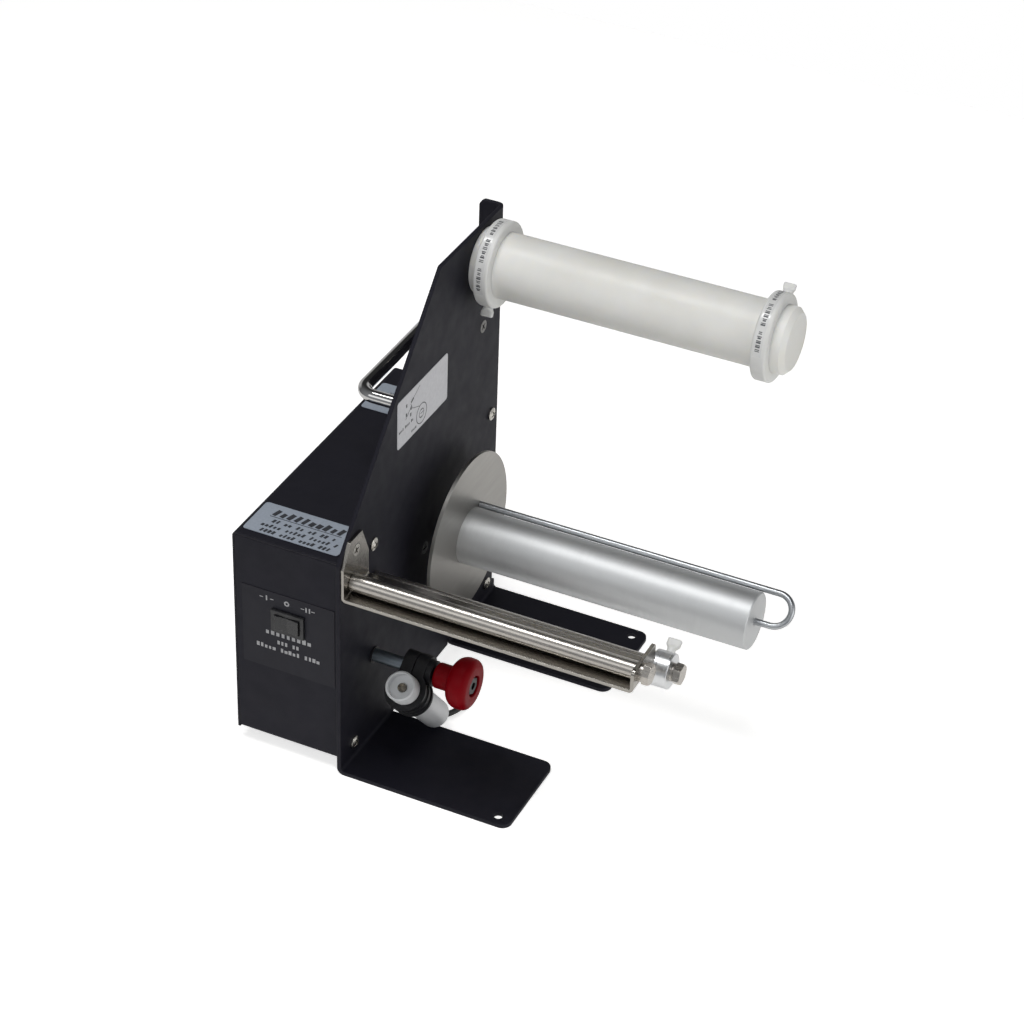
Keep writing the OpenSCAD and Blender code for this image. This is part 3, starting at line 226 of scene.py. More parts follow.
def mixColour(tree, share, first, second):
    # Of the Mix node's sockets, inputs 6 and 7 and output 2 are the colours
    node = tree.nodes.new("ShaderNodeMix")
    node.data_type = "RGBA"
    tree.links.new(share, node.inputs["Factor"])
    for value, place in ((first, 6), (second, 7)):
        if isinstance(value, tuple):
            node.inputs[place].default_value = (*value, 1)
        else:
            tree.links.new(value, node.inputs[place])
    return node.outputs[2]


def mottled(name, look):
    # Plastic, paint or film: two tones by noise, changing roughness, fine bump, worn edges, dust on top
    material, tree, shader = newMaterial(name)
    point = objectPoint(tree)
    low, high = finishLook["toneStops"]
    tone = ramp(tree, noise(tree, point, look["toneScale"], *finishLook["toneNoise"]),
                (low, look["dark"]), (high, look["light"]))
    if "dust" in look:
        cloud = spread(tree, noise(tree, point, *finishLook["dustNoise"]), 0, look["dustShare"],
                       *finishLook["dustSpread"])
        tone = mixColour(tree, mathNode(tree, "MULTIPLY", facingUp(tree), cloud), tone, look["dust"])
    if "wear" in look:
        patches = spread(tree, noise(tree, point, *finishLook["wearNoise"]),
                         finishLook["wearLeast"], 1, *finishLook["wearSpread"])
        worn = mathNode(tree, "MULTIPLY", edgeMask(tree, finishLook["wearWidth"]), patches)
        tone = mixColour(tree, worn, tone, look["wear"])
    tree.links.new(tone, shader.inputs["Base Color"])
    gloss = noise(tree, point, look["toneScale"] * finishLook["roughScale"])
    tree.links.new(spread(tree, gloss, *look["rough"]), shader.inputs["Roughness"])
    shader.inputs["Metallic"].default_value = look.get("metal", 0.0)
    shader.inputs["Specular IOR Level"].default_value = look.get("specular", 0.5)
    shader.inputs["Specular Tint"].default_value = (*look.get("tint", (1.0, 1.0, 1.0)), 1)
    if "under" in look:
        shader.inputs["Subsurface Weight"].default_value = look["under"]
        shader.inputs["Subsurface Radius"].default_value = look["underRadius"]
        shader.inputs["Subsurface Scale"].default_value = 1.0
    under = roundedNormal(tree, look["edge"]) if "edge" in look else None
    grain = noise(tree, objectPoint(tree, look.get("grainStretch", (1, 1, 1))),
                  look["grainScale"], *finishLook["grainNoise"])
    tree.links.new(bump(tree, grain, look["grain"], finishLook["grainDepth"], under),
                   shader.inputs["Normal"])
    return material


def brushed(name, look):
    # Metal: fine lines from noise stretched by the look's factors, in tone, roughness and bump
    material, tree, shader = newMaterial(name)
    lines = noise(tree, objectPoint(tree, look["stretch"]), look["lineScale"], *finishLook["lineNoise"])
    cloud = noise(tree, objectPoint(tree), finishLook["cloudScale"])
    low, high = finishLook["toneStops"]
    backLow, backHigh = finishLook["lineStops"]
    tone = mixColour(tree, spread(tree, cloud, 0, 1),
                     ramp(tree, lines, (low, look["dark"]), (high, look["light"])),
                     ramp(tree, lines, (backLow, look["light"]), (backHigh, look["dark"])))
    tree.links.new(tone, shader.inputs["Base Color"])
    tree.links.new(spread(tree, lines, *look["rough"]), shader.inputs["Roughness"])
    shader.inputs["Metallic"].default_value = 1.0
    under = roundedNormal(tree, look["edge"]) if "edge" in look else None
    tree.links.new(bump(tree, lines, look["grain"], finishLook["lineDepth"], under),
                   shader.inputs["Normal"])
    return material


# One finish for each slot of the record
looks = {
    "powder_coat": dict(kind=mottled, dark=(0.0035, 0.0034, 0.0074), light=(0.0050, 0.0048, 0.0100),
                        toneScale=40, rough=(0.56, 0.64), grain=0.3, grainScale=1100, edge=0.0009,
                        wear=(0.03, 0.03, 0.033), specular=0.27, tint=(0.91, 0.905, 1.0),
                        dust=(0.03, 0.03, 0.033), dustShare=0.08),
    "screw_nickel": dict(kind=brushed, dark=(0.42, 0.40, 0.36), light=(0.70, 0.68, 0.63),
                         stretch=(1, 1, 1), lineScale=900, rough=(0.16, 0.3), grain=0.15, edge=0.0003),
    "switch_black": dict(kind=mottled, dark=(0.012, 0.012, 0.013), light=(0.022, 0.022, 0.024),
                         toneScale=200, rough=(0.38, 0.5), grain=0.2, grainScale=2500, edge=0.0004),
    "rocker_black": dict(kind=mottled, dark=(0.010, 0.010, 0.011), light=(0.016, 0.016, 0.018),
                         toneScale=150, rough=(0.22, 0.34), grain=0.06, grainScale=1500, edge=0.0005),
    "panel_film": dict(kind=mottled, dark=(0.0041, 0.0040, 0.0078), light=(0.0056, 0.0055, 0.0100),
                       toneScale=60, specular=0.27, tint=(0.91, 0.905, 1.0), rough=(0.40, 0.48),
                       grain=0.08, grainScale=2200),
    "label_grey": dict(kind=mottled, dark=(0.31, 0.35, 0.41), light=(0.37, 0.41, 0.47),
                       toneScale=700, rough=(0.35, 0.45), grain=0.08, grainScale=2200),
    "plate_label": dict(kind=mottled, dark=(0.54, 0.54, 0.565), light=(0.61, 0.61, 0.635),
                        toneScale=500, rough=(0.35, 0.45), grain=0.08, grainScale=2200),
    "handle_chrome": dict(kind=brushed, dark=(0.50, 0.495, 0.49), light=(0.56, 0.555, 0.55),
                          stretch=(1, 1, 1), lineScale=60, rough=(0.07, 0.11), grain=0.004),
    "nylon_natural": dict(kind=mottled, dark=(0.735, 0.725, 0.68), light=(0.81, 0.805, 0.775),
                          toneScale=22, rough=(0.38, 0.52), grain=0.12, grainScale=260,
                          grainStretch=(8, 1, 1), edge=0.0006, under=0.35,
                          underRadius=(0.004, 0.0035, 0.0025)),
    "nylon_white": dict(kind=mottled, dark=(0.67, 0.67, 0.65), light=(0.74, 0.74, 0.72),
                        toneScale=50, rough=(0.36, 0.48), grain=0.08, grainScale=500, edge=0.0004,
                        under=0.3, underRadius=(0.002, 0.002, 0.0016)),
    "spindle_aluminium": dict(kind=brushed, dark=(0.53, 0.54, 0.545), light=(0.60, 0.61, 0.615),
                              stretch=(0.35, 0.06, 0.06), lineScale=900, rough=(0.50, 0.56),
                              grain=0.04, edge=0.0004),
    "bright_aluminium": dict(kind=brushed, dark=(0.55, 0.56, 0.57), light=(0.8, 0.81, 0.82),
                             stretch=(1, 0.05, 0.05), lineScale=1200, rough=(0.26, 0.36),
                             grain=0.1, edge=0.0003),
    "disc_steel": dict(kind=brushed, dark=(0.31, 0.30, 0.285), light=(0.37, 0.36, 0.34),
                       stretch=(1, 0.05, 0.6), lineScale=400, rough=(0.34, 0.42), grain=0.02),
    "dark_steel": dict(kind=brushed, dark=(0.010, 0.011, 0.013), light=(0.026, 0.028, 0.031),
                       stretch=(1, 1, 1), lineScale=600, rough=(0.25, 0.4), grain=0.1, edge=0.0003),
    "wire_bright": dict(kind=brushed, dark=(0.32, 0.335, 0.35), light=(0.46, 0.475, 0.49),
                        stretch=(0.1, 1, 1), lineScale=900, rough=(0.26, 0.36), grain=0.06),
    "gearbox_cast": dict(kind=mottled, dark=(0.3, 0.31, 0.32), light=(0.4, 0.41, 0.42),
                         toneScale=90, rough=(0.4, 0.55), grain=0.4, grainScale=900, metal=1.0),
    "brass": dict(kind=brushed, dark=(0.4, 0.28, 0.11), light=(0.62, 0.46, 0.2),
                  stretch=(1, 1, 0.1), lineScale=900, rough=(0.22, 0.34), grain=0.1),
    "motor_steel": dict(kind=brushed, dark=(0.38, 0.38, 0.39), light=(0.55, 0.55, 0.56),
                        stretch=(1, 0.1, 0.1), lineScale=700, rough=(0.25, 0.4), grain=0.1),
    "board_green": dict(kind=mottled, dark=(0.01, 0.07, 0.03), light=(0.02, 0.11, 0.05),
                        toneScale=180, rough=(0.25, 0.4), grain=0.2, grainScale=900),
    "board_dark": dict(kind=mottled, dark=(0.03, 0.033, 0.036), light=(0.06, 0.064, 0.07),
                       toneScale=120, rough=(0.35, 0.5), grain=0.2, grainScale=1200),
    "strip_stainless": dict(kind=brushed, dark=(0.28, 0.265, 0.24), light=(0.41, 0.39, 0.36),
                            stretch=(0.03, 1, 1), lineScale=620, rough=(0.17, 0.27),
                            grain=0.04, edge=0.0005),
    "rod_stainless": dict(kind=brushed, dark=(0.38, 0.36, 0.33), light=(0.52, 0.49, 0.455),
                          stretch=(0.04, 1, 1), lineScale=620, rough=(0.23, 0.31),
                          grain=0.025, edge=0.0003),
    "stud_zinc": dict(kind=brushed, dark=(0.16, 0.19, 0.22), light=(0.28, 0.32, 0.36),
                      stretch=(0.2, 1, 1), lineScale=500, rough=(0.34, 0.48), grain=0.15),
    "clamp_black": dict(kind=mottled, dark=(0.006, 0.006, 0.007), light=(0.012, 0.012, 0.014),
                        toneScale=250, rough=(0.36, 0.52), grain=0.2, grainScale=2200,
                        edge=0.0006, wear=(0.03, 0.03, 0.032), specular=0.22),
    "sensor_barrel": dict(kind=mottled, dark=(0.62, 0.63, 0.64), light=(0.68, 0.69, 0.70),
                          toneScale=90, rough=(0.34, 0.44), grain=0.08, grainScale=700,
                          metal=0.15, edge=0.0007),
    "sensor_glass": dict(kind=brushed, dark=(0.05, 0.045, 0.04), light=(0.42, 0.37, 0.30),
                         stretch=(1, 1, 1), lineScale=420, rough=(0.06, 0.16), grain=0.3),
    "rubber_black": dict(kind=mottled, dark=(0.008, 0.008, 0.008), light=(0.016, 0.016, 0.016),
                         toneScale=300, rough=(0.5, 0.65), grain=0.2, grainScale=1800),
    "knob_red": dict(kind=mottled, dark=(0.16, 0.0004, 0.003), light=(0.22, 0.0008, 0.005),
                     toneScale=60, rough=(0.40, 0.5), grain=0.1, grainScale=1500, edge=0.0005,
                     specular=0.08),
}
# Finishes beside the slots: worn screws, inks and tape
extraLooks = {
    "screw_dull": dict(kind=brushed, dark=(0.10, 0.10, 0.10), light=(0.22, 0.215, 0.205),
                       stretch=(1, 1, 1), lineScale=900, rough=(0.3, 0.42), grain=0.1, edge=0.0004),
    "ink_white": dict(kind=mottled, dark=(0.30, 0.30, 0.31), light=(0.42, 0.42, 0.43),
                      toneScale=900, rough=(0.5, 0.6), grain=0.1, grainScale=2500),
    "ink_black": dict(kind=mottled, dark=(0.012, 0.013, 0.017), light=(0.035, 0.038, 0.046),
                      toneScale=900, rough=(0.5, 0.6), grain=0.1, grainScale=2500),
    "ink_grey": dict(kind=mottled, dark=(0.05, 0.053, 0.058), light=(0.10, 0.104, 0.11),
                     toneScale=900, rough=(0.5, 0.6), grain=0.1, grainScale=2500),
    "tape_clear": dict(kind=mottled, dark=(0.66, 0.66, 0.645), light=(0.71, 0.71, 0.70),
                       toneScale=300, rough=(0.16, 0.26), grain=0.05, grainScale=900),
}

materials = {}
for lookName, look in {**looks, **extraLooks}.items():
    materials[lookName] = look["kind"](lookName, look)

slotOfNode = {part["node"]: part["material_slot"] for part in frame["record"]["subparts"]}
dullNodes = {"handle_screws": "screw_dull"}  # nickel too, but worn dull in the photo
for nodeName, solid in frame["nodes"].items():
    solid.data.materials.clear()
    solid.data.materials.append(materials[dullNodes.get(nodeName, slotOfNode[nodeName])])
print("materials made:", len(materials))


# Pieces built from point grids
def gridFaces(countU, countV, closedU, start=0):
    # Four-sided faces between neighbours of a grid whose second direction is closed
    u = np.arange(countU if closedU else countU - 1)
    v = np.arange(countV)
    u, v = (side.ravel() for side in np.meshgrid(u, v, indexing="ij"))
    nextU, nextV = (u + 1) % countU, (v + 1) % countV
    return (np.stack([u * countV + v, nextU * countV + v,
                      nextU * countV + nextV, u * countV + nextV], -1) + start).tolist()


def newPiece(name, grids, material, body, closedU=False, sharp=35):
    # Each grid is an array (along, round, 3) in plate coordinates; open ends get a flat cap
    points, faces, start = [], [], 0
    for grid in grids:
        countU, countV = grid.shape[:2]
        points.append(grid.reshape(-1, 3))
        faces += gridFaces(countU, countV, closedU, start)
        if not closedU:
            faces.append([start + i for i in range(countV)])
            faces.append([start + (countU - 1) * countV + i for i in reversed(range(countV))])
        start += countU * countV
    mesh = bpy.data.meshes.new(name)
    mesh.from_pydata(toRow(np.concatenate(points)).tolist(), [], faces)
    work = bmesh.new()
    work.from_mesh(mesh)
    bmesh.ops.recalc_face_normals(work, faces=work.faces)
    work.to_mesh(mesh)
    work.free()
    mesh.shade_smooth()
    mesh.set_sharp_from_angle(angle=math.radians(sharp))
    mesh.materials.append(materials[material])
    piece = bpy.data.objects.new(name, mesh)
    bpy.context.scene.collection.objects.link(piece)
    if body is not None:
        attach(piece, body)
    return piece


def arc(centre, radius, fromAngle, toAngle, count=14):
    # Points centre + radius * (cos a, sin a), with both angles in degrees
    angles = np.radians(np.linspace(fromAngle, toAngle, count))
    return np.stack([centre[0] + radius * np.cos(angles), centre[1] + radius * np.sin(angles)], -1)


def turned(profile, place, axis, turns):
    # Revolved surface: place + along * axis + radius * (cos a * side + sin a * other), where side
    # and other are square to the axis
    axis = np.asarray(axis, float) / np.linalg.norm(axis)
    side = np.cross(axis, [0.0, 0.6, 0.8])
    side /= np.linalg.norm(side)
    other = np.cross(axis, side)
    angles = np.linspace(0, 2 * math.pi, turns, endpoint=False)
    spoke = np.cos(angles)[:, None] * side + np.sin(angles)[:, None] * other
    return place + profile[:, None, :1] * axis + profile[:, None, 1:] * spoke[None]


knobLook = {
    "neckRadius": 7.75,
    "neckLength": 10.2,
    "neckRound": 1.6,
    "fillet": 0.9,
    "filletEnd": -2,
    "filletSteps": 8,
    "headRadius": 15.5,
    "headLength": 14,
    "backRound": 7.0,
    "backStart": 171,
    "backSteps": 36,
    "frontRound": 4.2,
    "frontSteps": 26,
    "recessRadius": 6.5,
    "recessDepth": 3.2,
    "recessRound": 0.5,
    "recessSteps": 6,
    "boreRadius": 4.56,
    "seamHeight": 0.12,
    "seamWidth": 0.22,
    "seamReach": 1,
    "turns": 128,
}


def makeKnob(look):
    # A profile of straight lines and arcs turned round the stud, with a faint mould seam:
    # height * exp(-((along - widest) / width)^2) added to the radius outside
    neck, head = look["neckRadius"], look["headRadius"]
    face = look["neckLength"] + look["headLength"]
    widest = look["neckLength"] + look["backRound"]
    backCentre = (widest, head - look["backRound"])
    frontCentre = (face - look["frontRound"], head - look["frontRound"])
    lip = (face - look["recessRound"], look["recessRadius"] + look["recessRound"])
    outside = np.concatenate([
        arc((look["neckRound"], neck - look["neckRound"]), look["neckRound"], 180, 90),
        arc((look["neckLength"] - look["fillet"], neck + look["fillet"]), look["fillet"],
            -90, look["filletEnd"], look["filletSteps"]),
        arc(backCentre, look["backRound"], look["backStart"], 90, look["backSteps"]),
        arc(frontCentre, look["frontRound"], 90, 0, look["frontSteps"])])
    seam = look["seamHeight"] * np.exp(-((outside[:, 0] - widest) / look["seamWidth"]) ** 2)
    outside[:, 1] += np.where(outside[:, 1] > head - look["seamReach"], seam, 0)
    floor = face - look["recessDepth"]
    inside = np.concatenate([
        arc(lip, look["recessRound"], 0, -90, look["recessSteps"]),
        [[floor, look["recessRadius"]], [floor, look["boreRadius"]], [0, look["boreRadius"]]]])
    low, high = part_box("knob")
    place = (toPlate(low) + toPlate(high)) / 2
    place[0] = toPlate(low)[0]
    shell = turned(np.concatenate([outside, inside]), place, (1, 0, 0), look["turns"])
    knob = newPiece("knobShell", [shell], "knob_red", "knob", closedU=True)
    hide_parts("knob")


makeKnob(knobLook)

rollAxis = (177.3, 257)  # of the supply rod and its collars, as (y, z)
rollRimRadius = 26
guideAxis = (41, 115.5)

# Thumb screws: centre of the ring, angle from -Z towards +Y, sizes
screwLooks = {
    "inner_collar_screw": dict(body="inner_thumb_screw", place=(9.75, *rollAxis), angle=-28,
                               tip=20.1, rim=rollRimRadius, neck=1, width=7.4, height=4.7,
                               thick=3.4, shank=6),
    "outer_collar_screw": dict(body="outer_thumb_screw", place=(180.75, *rollAxis), angle=138,
                               tip=20.1, rim=rollRimRadius, neck=1, width=7.4, height=4.7,
                               thick=3.4, shank=6),
    "guide_collar_screw": dict(body="guide_thumb_screw", place=(180.5, *guideAxis), angle=119,
                               tip=5.55, rim=10.4, neck=2.5, width=8.2, height=6.2,
                               thick=3.4, shank=5),
}
# The paddle, the same on all three: lengths in mm, and the crown is its rounded top
paddleLook = {
    "tipBevel": 0.5,
    "roundUpTo": 1.2,
    "flatFrom": 0.4,
    "flatShare": 0.45,
    "squareness": 0.6,
    "crown": 0.9,
    "crownThin": 0.8,
    "crownStart": 12,
    "sections": 22,
    "crownSections": 9,
    "turns": 40,
    "sharp": 50,
}


def makeThumbScrew(node, look, paddle):
    # Sections from the round shank to the flat paddle: at each height the outline is
    # (a * sign(cos t) * |cos t|^p, b * sign(sin t) * |sin t|^p), p going from 1 to 0.4
    shankR = look["shank"] / 2
    foot = look["rim"] + look["neck"]
    top = foot + look["height"]
    start = foot - paddle["flatFrom"]
    crown = paddle["crown"]
    crownTurn = np.radians(np.linspace(paddle["crownStart"], 90, paddle["crownSections"]))
    heights = np.concatenate([
        [look["tip"], look["tip"] + paddle["tipBevel"], foot - paddle["roundUpTo"]],
        np.linspace(start, top - crown, paddle["sections"]),
        top - crown + crown * np.sin(crownTurn)])
    rise = np.clip((heights - start) / (paddle["flatShare"] * look["height"]), 0, 1)
    rise = rise * rise * (3 - 2 * rise)
    shoulder = np.sqrt(np.clip(1 - ((heights - top + crown) / crown).clip(0, 1) ** 2, 0.0, 1))
    wide = shankR + (look["width"] / 2 - shankR) * rise
    thin = shankR + (look["thick"] / 2 - shankR) * rise
    wide = np.where(heights > top - crown, wide - crown * (1 - shoulder), wide)
    thin = np.where(heights > top - crown, thin - paddle["crownThin"] * (1 - shoulder), thin)
    wide[0] -= paddle["tipBevel"]
    thin[0] -= paddle["tipBevel"]
    turn = np.linspace(0, 2 * math.pi, paddle["turns"], endpoint=False)
    power = (1 - paddle["squareness"] * rise)[:, None]
    across = wide[:, None] * np.sign(np.cos(turn)) * np.abs(np.cos(turn)) ** power
    deep = thin[:, None] * np.sign(np.sin(turn)) * np.abs(np.sin(turn)) ** power
    angle = math.radians(look["angle"])
    axis = np.array([0, math.sin(angle), -math.cos(angle)])
    side = np.array([1.0, 0, 0])
    other = np.cross(axis, side)
    grid = (np.array(look["place"], float) + heights[:, None, None] * axis
            + across[..., None] * side + deep[..., None] * other)
    piece = newPiece(node + "_shape", [grid], slotOfNode[node], look["body"], sharp=paddle["sharp"])
    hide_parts(node)


for nodeName, look in screwLooks.items():
    makeThumbScrew(nodeName, look, paddleLook)

# The cable runs from the barrel's rear past the knob and along the plate to the grommet
cableLook = {
    "route": [(28.9, 60.5, 15.4), (28.9, 63.8, 11.6), (28.9, 66.4, 8.6), (29.1, 68.6, 6.2),
              (30, 71.2, 4.5), (31.7, 74, 3.8), (34, 77.5, 3.8), (36.2, 82, 4.2), (37, 87, 5),
              (36, 92, 6.4), (33, 96.2, 8.2), (28.5, 98.6, 10.2), (23, 99, 12.2),
              (17.5, 98, 14.2), (12, 96.4, 16), (7, 95.3, 17), (2, 95, 17.2), (-3, 95, 17.2),
              (-9, 95, 17.2), (-13.5, 95, 17.2)],
    "radius": 1.78,
    "sides": 16,
    "stepsBetween": 5,
    "sideways": (0.05, -0.35, 0.93),
    "bendFrom": 3,
    "bendTo": -6,
}


def smoothPath(points, steps):
    # Catmull-Rom: between two points the cubic whose slopes are half the neighbours' distance
    points = np.asarray(points, float)
    ends = np.concatenate([[2 * points[0] - points[1]], points, [2 * points[-1] - points[-2]]])
    before, here, after, beyond = ends[:-3], ends[1:-2], ends[2:-1], ends[3:]
    t = np.linspace(0, 1, steps, endpoint=False)[None, :, None]
    before, here, after, beyond = (side[:, None] for side in (before, here, after, beyond))
    curve = 0.5 * (2 * here + (after - before) * t
                   + (2 * before - 5 * here + 4 * after - beyond) * t ** 2
                   + (3 * here - before - 3 * after + beyond) * t ** 3)
    return np.concatenate([curve.reshape(-1, 3), points[-1:]])


def tubeGrid(path, radius, sides, sideways):
    # Circles square to the path: centre + radius * (cos a * side + sin a * other)
    ahead = np.gradient(path, axis=0)
    ahead /= np.linalg.norm(ahead, axis=1)[:, None]
    side = np.cross(ahead, sideways)
    side /= np.linalg.norm(side, axis=1)[:, None]
    other = np.cross(ahead, side)
    angles = np.linspace(0, 2 * math.pi, sides, endpoint=False)
    return (path[:, None] + radius * (np.cos(angles)[None, :, None] * side[:, None]
                                      + np.sin(angles)[None, :, None] * other[:, None]))


def makeCable(look):
    path = smoothPath(look["route"], look["stepsBetween"])
    tube = tubeGrid(path, look["radius"], look["sides"], look["sideways"])
    cable = newPiece("sensorCord", [tube], "rubber_black", None)
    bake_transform(cable)
    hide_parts("sensor_cable")


makeCable(cableLook)
print("knob, thumb screws and cable made")


# Prints: plain generic marks, each a thin closed strip on its surface, in mm
printLook = {
    "sunk": 0.02,
    "raised": 0.05,
    "sharp": 30,
    "lowShare": 0.45,
    "lowHeight": 0.72,
    "narrow": 0.50,
    "widthSpread": 0.26,
}


def strip(points, width, normal, thick=printLook["raised"], closed=False):
    # Four corners at each point: half the width to both sides, at the surface and raised
    points = np.asarray(points, float)
    if closed:
        ahead = np.roll(points, -1, 0) - np.roll(points, 1, 0)
    elif len(points) > 2:
        ahead = np.gradient(points, axis=0)
    else:
        ahead = np.repeat(points[1:] - points[:1], 2, 0)
    ahead /= np.linalg.norm(ahead, axis=1)[:, None]
    normal = np.broadcast_to(np.asarray(normal, float), points.shape)
    side = np.cross(ahead, normal) * width / 2
    low, high = points - printLook["sunk"] * normal, points + thick * normal
    return np.stack([low - side, low + side, high + side, high - side], 1)


def onPlane(origin, u, v):
    # Gives a function that takes flat points (a, b) to origin + a * u + b * v
    origin, u, v = (np.asarray(value, float) for value in (origin, u, v))

    def toSpace(flat):
        flat = np.asarray(flat, float)
        return origin + flat[:, :1] * u + flat[:, 1:] * v

    return toSpace


def blockRow(fromU, toU, v, height, gapEvery, seed, pitch, slant=0.0):
    # A row of upright blocks with two heights and varying widths, one left out after each few
    dice = np.random.default_rng(seed)
    count = int((toU - fromU) / pitch)
    marks = []
    for i in range(count):
        if i % gapEvery == gapEvery - 1:
            continue
        middle = fromU + (i + 0.5) * (toU - fromU) / count
        tall = height * (1.0 if dice.random() > printLook["lowShare"] else printLook["lowHeight"])
        width = pitch * (printLook["narrow"] + printLook["widthSpread"] * dice.random())
        base = v - height / 2
        lean = slant * tall
        marks.append(([(middle - lean / 2, base), (middle + lean / 2, base + tall)], width))
    return marks


def blockRows(rows):
    return [mark for row in rows for mark in blockRow(**row)]


def circlePoints(centre, radius, count=40):
    # The points centre + radius * (cos a, sin a) of a full turn
    angles = np.linspace(0, 2 * math.pi, count, endpoint=False)
    return np.stack([centre[0] + radius * np.cos(angles), centre[1] + radius * np.sin(angles)], -1)


def makePrint(name, lines, rings, plane, normal, material):
    newPiece(name, [strip(plane(points), width, normal) for points, width in lines],
             material, "frame", sharp=printLook["sharp"])
    if rings:
        newPiece(name + "Rings",
                 [strip(plane(points), width, normal, closed=True) for points, width in rings],
                 material, "frame", closedU=True, sharp=printLook["sharp"])


# On the front panel, in X and Z. The marks stand over the switch's three places
panelLook = {
    "surface": 2.75,
    "markHeight": 3.4,
    "markStroke": 0.85,
    "markTop": 110.3,
    "offCentre": -35.8,
    "lowCentre": -48.9,
    "highCentre": -22.1,
    "barApart": 1.1,
    "dashAway": 3.4,
    "dashHalf": 1.1,
    "dashThin": 0.6,
    "rows": [dict(fromU=-50.5, toU=-19.8, v=86.7, height=3.4, gapEvery=20, seed=3, pitch=3.3),
             dict(fromU=-42.8, toU=-28, v=80.7, height=2.6, gapEvery=4, seed=4, pitch=2.4),
             dict(fromU=-56.4, toU=-14.6, v=75.6, height=2.8, gapEvery=6, seed=5, pitch=2.6)],
}


def makePanelPrint(look):
    # One bar, a ring and two bars over the switch, dashes beside the bars, rows of blocks below
    half, v = look["markHeight"] / 2, look["markTop"]
    stroke, dash = look["markStroke"], look["dashHalf"]
    lines = [([(look["lowCentre"], v - half), (look["lowCentre"], v + half)], stroke)]
    for side in (-1, 1):
        u = look["highCentre"] + side * look["barApart"]
        lines.append(([(u, v - half), (u, v + half)], stroke))
    for centre in (look["lowCentre"], look["highCentre"]):
        for side in (-1, 1):
            u = centre + side * look["dashAway"]
            lines.append(([(u - dash, v), (u + dash, v)], stroke * look["dashThin"]))
    lines += blockRows(look["rows"])
    rings = [(circlePoints((look["offCentre"], v), half - stroke / 2), stroke)]
    makePrint("panelPrint", lines, rings, onPlane((0, look["surface"], 0), (1, 0, 0), (0, 0, 1)),
              (0, -1, 0), "ink_white")


makePanelPrint(panelLook)

# On the case's two labels, in X and Y: a line is its two ends and its width
caseLabelLook = {
    "surface": 150.25,
    "heading": [dict(fromU=-58.4, toU=-12.2, v=29.6, height=5.8, gapEvery=30, seed=6,
                     pitch=4.6, slant=0.3)],
    "underline": ([(-58.6, 25.5), (-12.4, 25.5)], 0.5),
    "rows": [dict(fromU=-55, toU=-13.8, v=21.8, height=3.0, gapEvery=3, seed=7, pitch=2.5, slant=0.3),
             dict(fromU=-59.4, toU=-10, v=16.7, height=3.0, gapEvery=6, seed=8, pitch=2.5, slant=0.3),
             dict(fromU=-57.4, toU=-12.2, v=11.6, height=3.0, gapEvery=5, seed=9, pitch=2.5,
                  slant=0.3)],
    "rearRows": [dict(fromU=-58, toU=-20, v=172, height=1.5, gapEvery=7, seed=10, pitch=1.5),
                 dict(fromU=-58, toU=-30, v=168.5, height=1.5, gapEvery=5, seed=11, pitch=1.5)],
    "rearDot": ([(-37.5, 158.6), (-37.5, 161)], 2.4),
}


def makeCaseLabelPrints(look):
    # Front label: heavy heading, underline and three rows. Rear label: two short rows and a dot
    plane = onPlane((0, 0, look["surface"]), (1, 0, 0), (0, 1, 0))
    front = blockRows(look["heading"]) + [look["underline"]] + blockRows(look["rows"])
    makePrint("frontLabelPrint", front, [], plane, (0, 0, 1), "ink_black")
    rear = blockRows(look["rearRows"]) + [look["rearDot"]]
    makePrint("rearLabelPrint", rear, [], plane, (0, 0, 1), "ink_grey")


makeCaseLabelPrints(caseLabelLook)

# On the plate's label, in Y and Z: a path is its points and its width
sideLabelLook = {
    "surface": 0.25,
    "roll": (99, 195.8),
    "ringRadii": (6.4, 2.88),
    "ringWidths": (0.55, 0.4),
    "web": ([(96.8, 201.9), (87.6, 205.6), (85.2, 209.6), (89.2, 212.2), (96.8, 216.2)], 0.35),
    "head": ([(85.6, 210.4), (88.8, 212.0)], 1.5),
    "rollLines": [([(97, 193.6), (99.4, 193.6)], 0.4), ([(97.6, 196), (101.4, 196)], 0.4),
                  ([(98, 198.2), (101, 198.2)], 0.4)],
    "rollers": ((80.1, 211.2), (85.7, 206.6), (79.9, 205.2), (85.3, 202.6)),
    "rollerHalf": 1.1,
    "rollerWidth": 1.5,
    "stroke": ([(79, 202.4), (86.6, 208.4)], 0.5),
    "rows": [dict(fromU=70.6, toU=88.6, v=197.9, height=1.9, gapEvery=5, seed=12, pitch=1.5),
             dict(fromU=86.2, toU=92.6, v=190.4, height=1.5, gapEvery=6, seed=13, pitch=1.2)],
}


def makeSideLabelPrint(look):
    # A roll, four rollers and the web's way between them, with two rows of blocks
    half = look["rollerHalf"]
    lines = [look["web"], look["head"], *look["rollLines"]]
    lines += [([(y, z - half), (y, z + half)], look["rollerWidth"]) for y, z in look["rollers"]]
    lines += [look["stroke"]] + blockRows(look["rows"])
    rings = [(circlePoints(look["roll"], radius), width)
             for radius, width in zip(look["ringRadii"], look["ringWidths"])]
    makePrint("sideLabelPrint", lines, rings, onPlane((look["surface"], 0, 0), (0, 1, 0), (0, 0, 1)),
              (1, 0, 0), "ink_grey")


makeSideLabelPrint(sideLabelLook)

# Tapes round the two roll collars: middle along X, the collar's body, angles from +Z towards -Y
tapeLooks = {
    "innerTape": dict(middle=9.2, body="inner_collar", fromAngle=-8, toAngle=100, seed=21),
    "outerTape": dict(middle=180.2, body="outer_collar", fromAngle=-22, toAngle=80, seed=22),
}
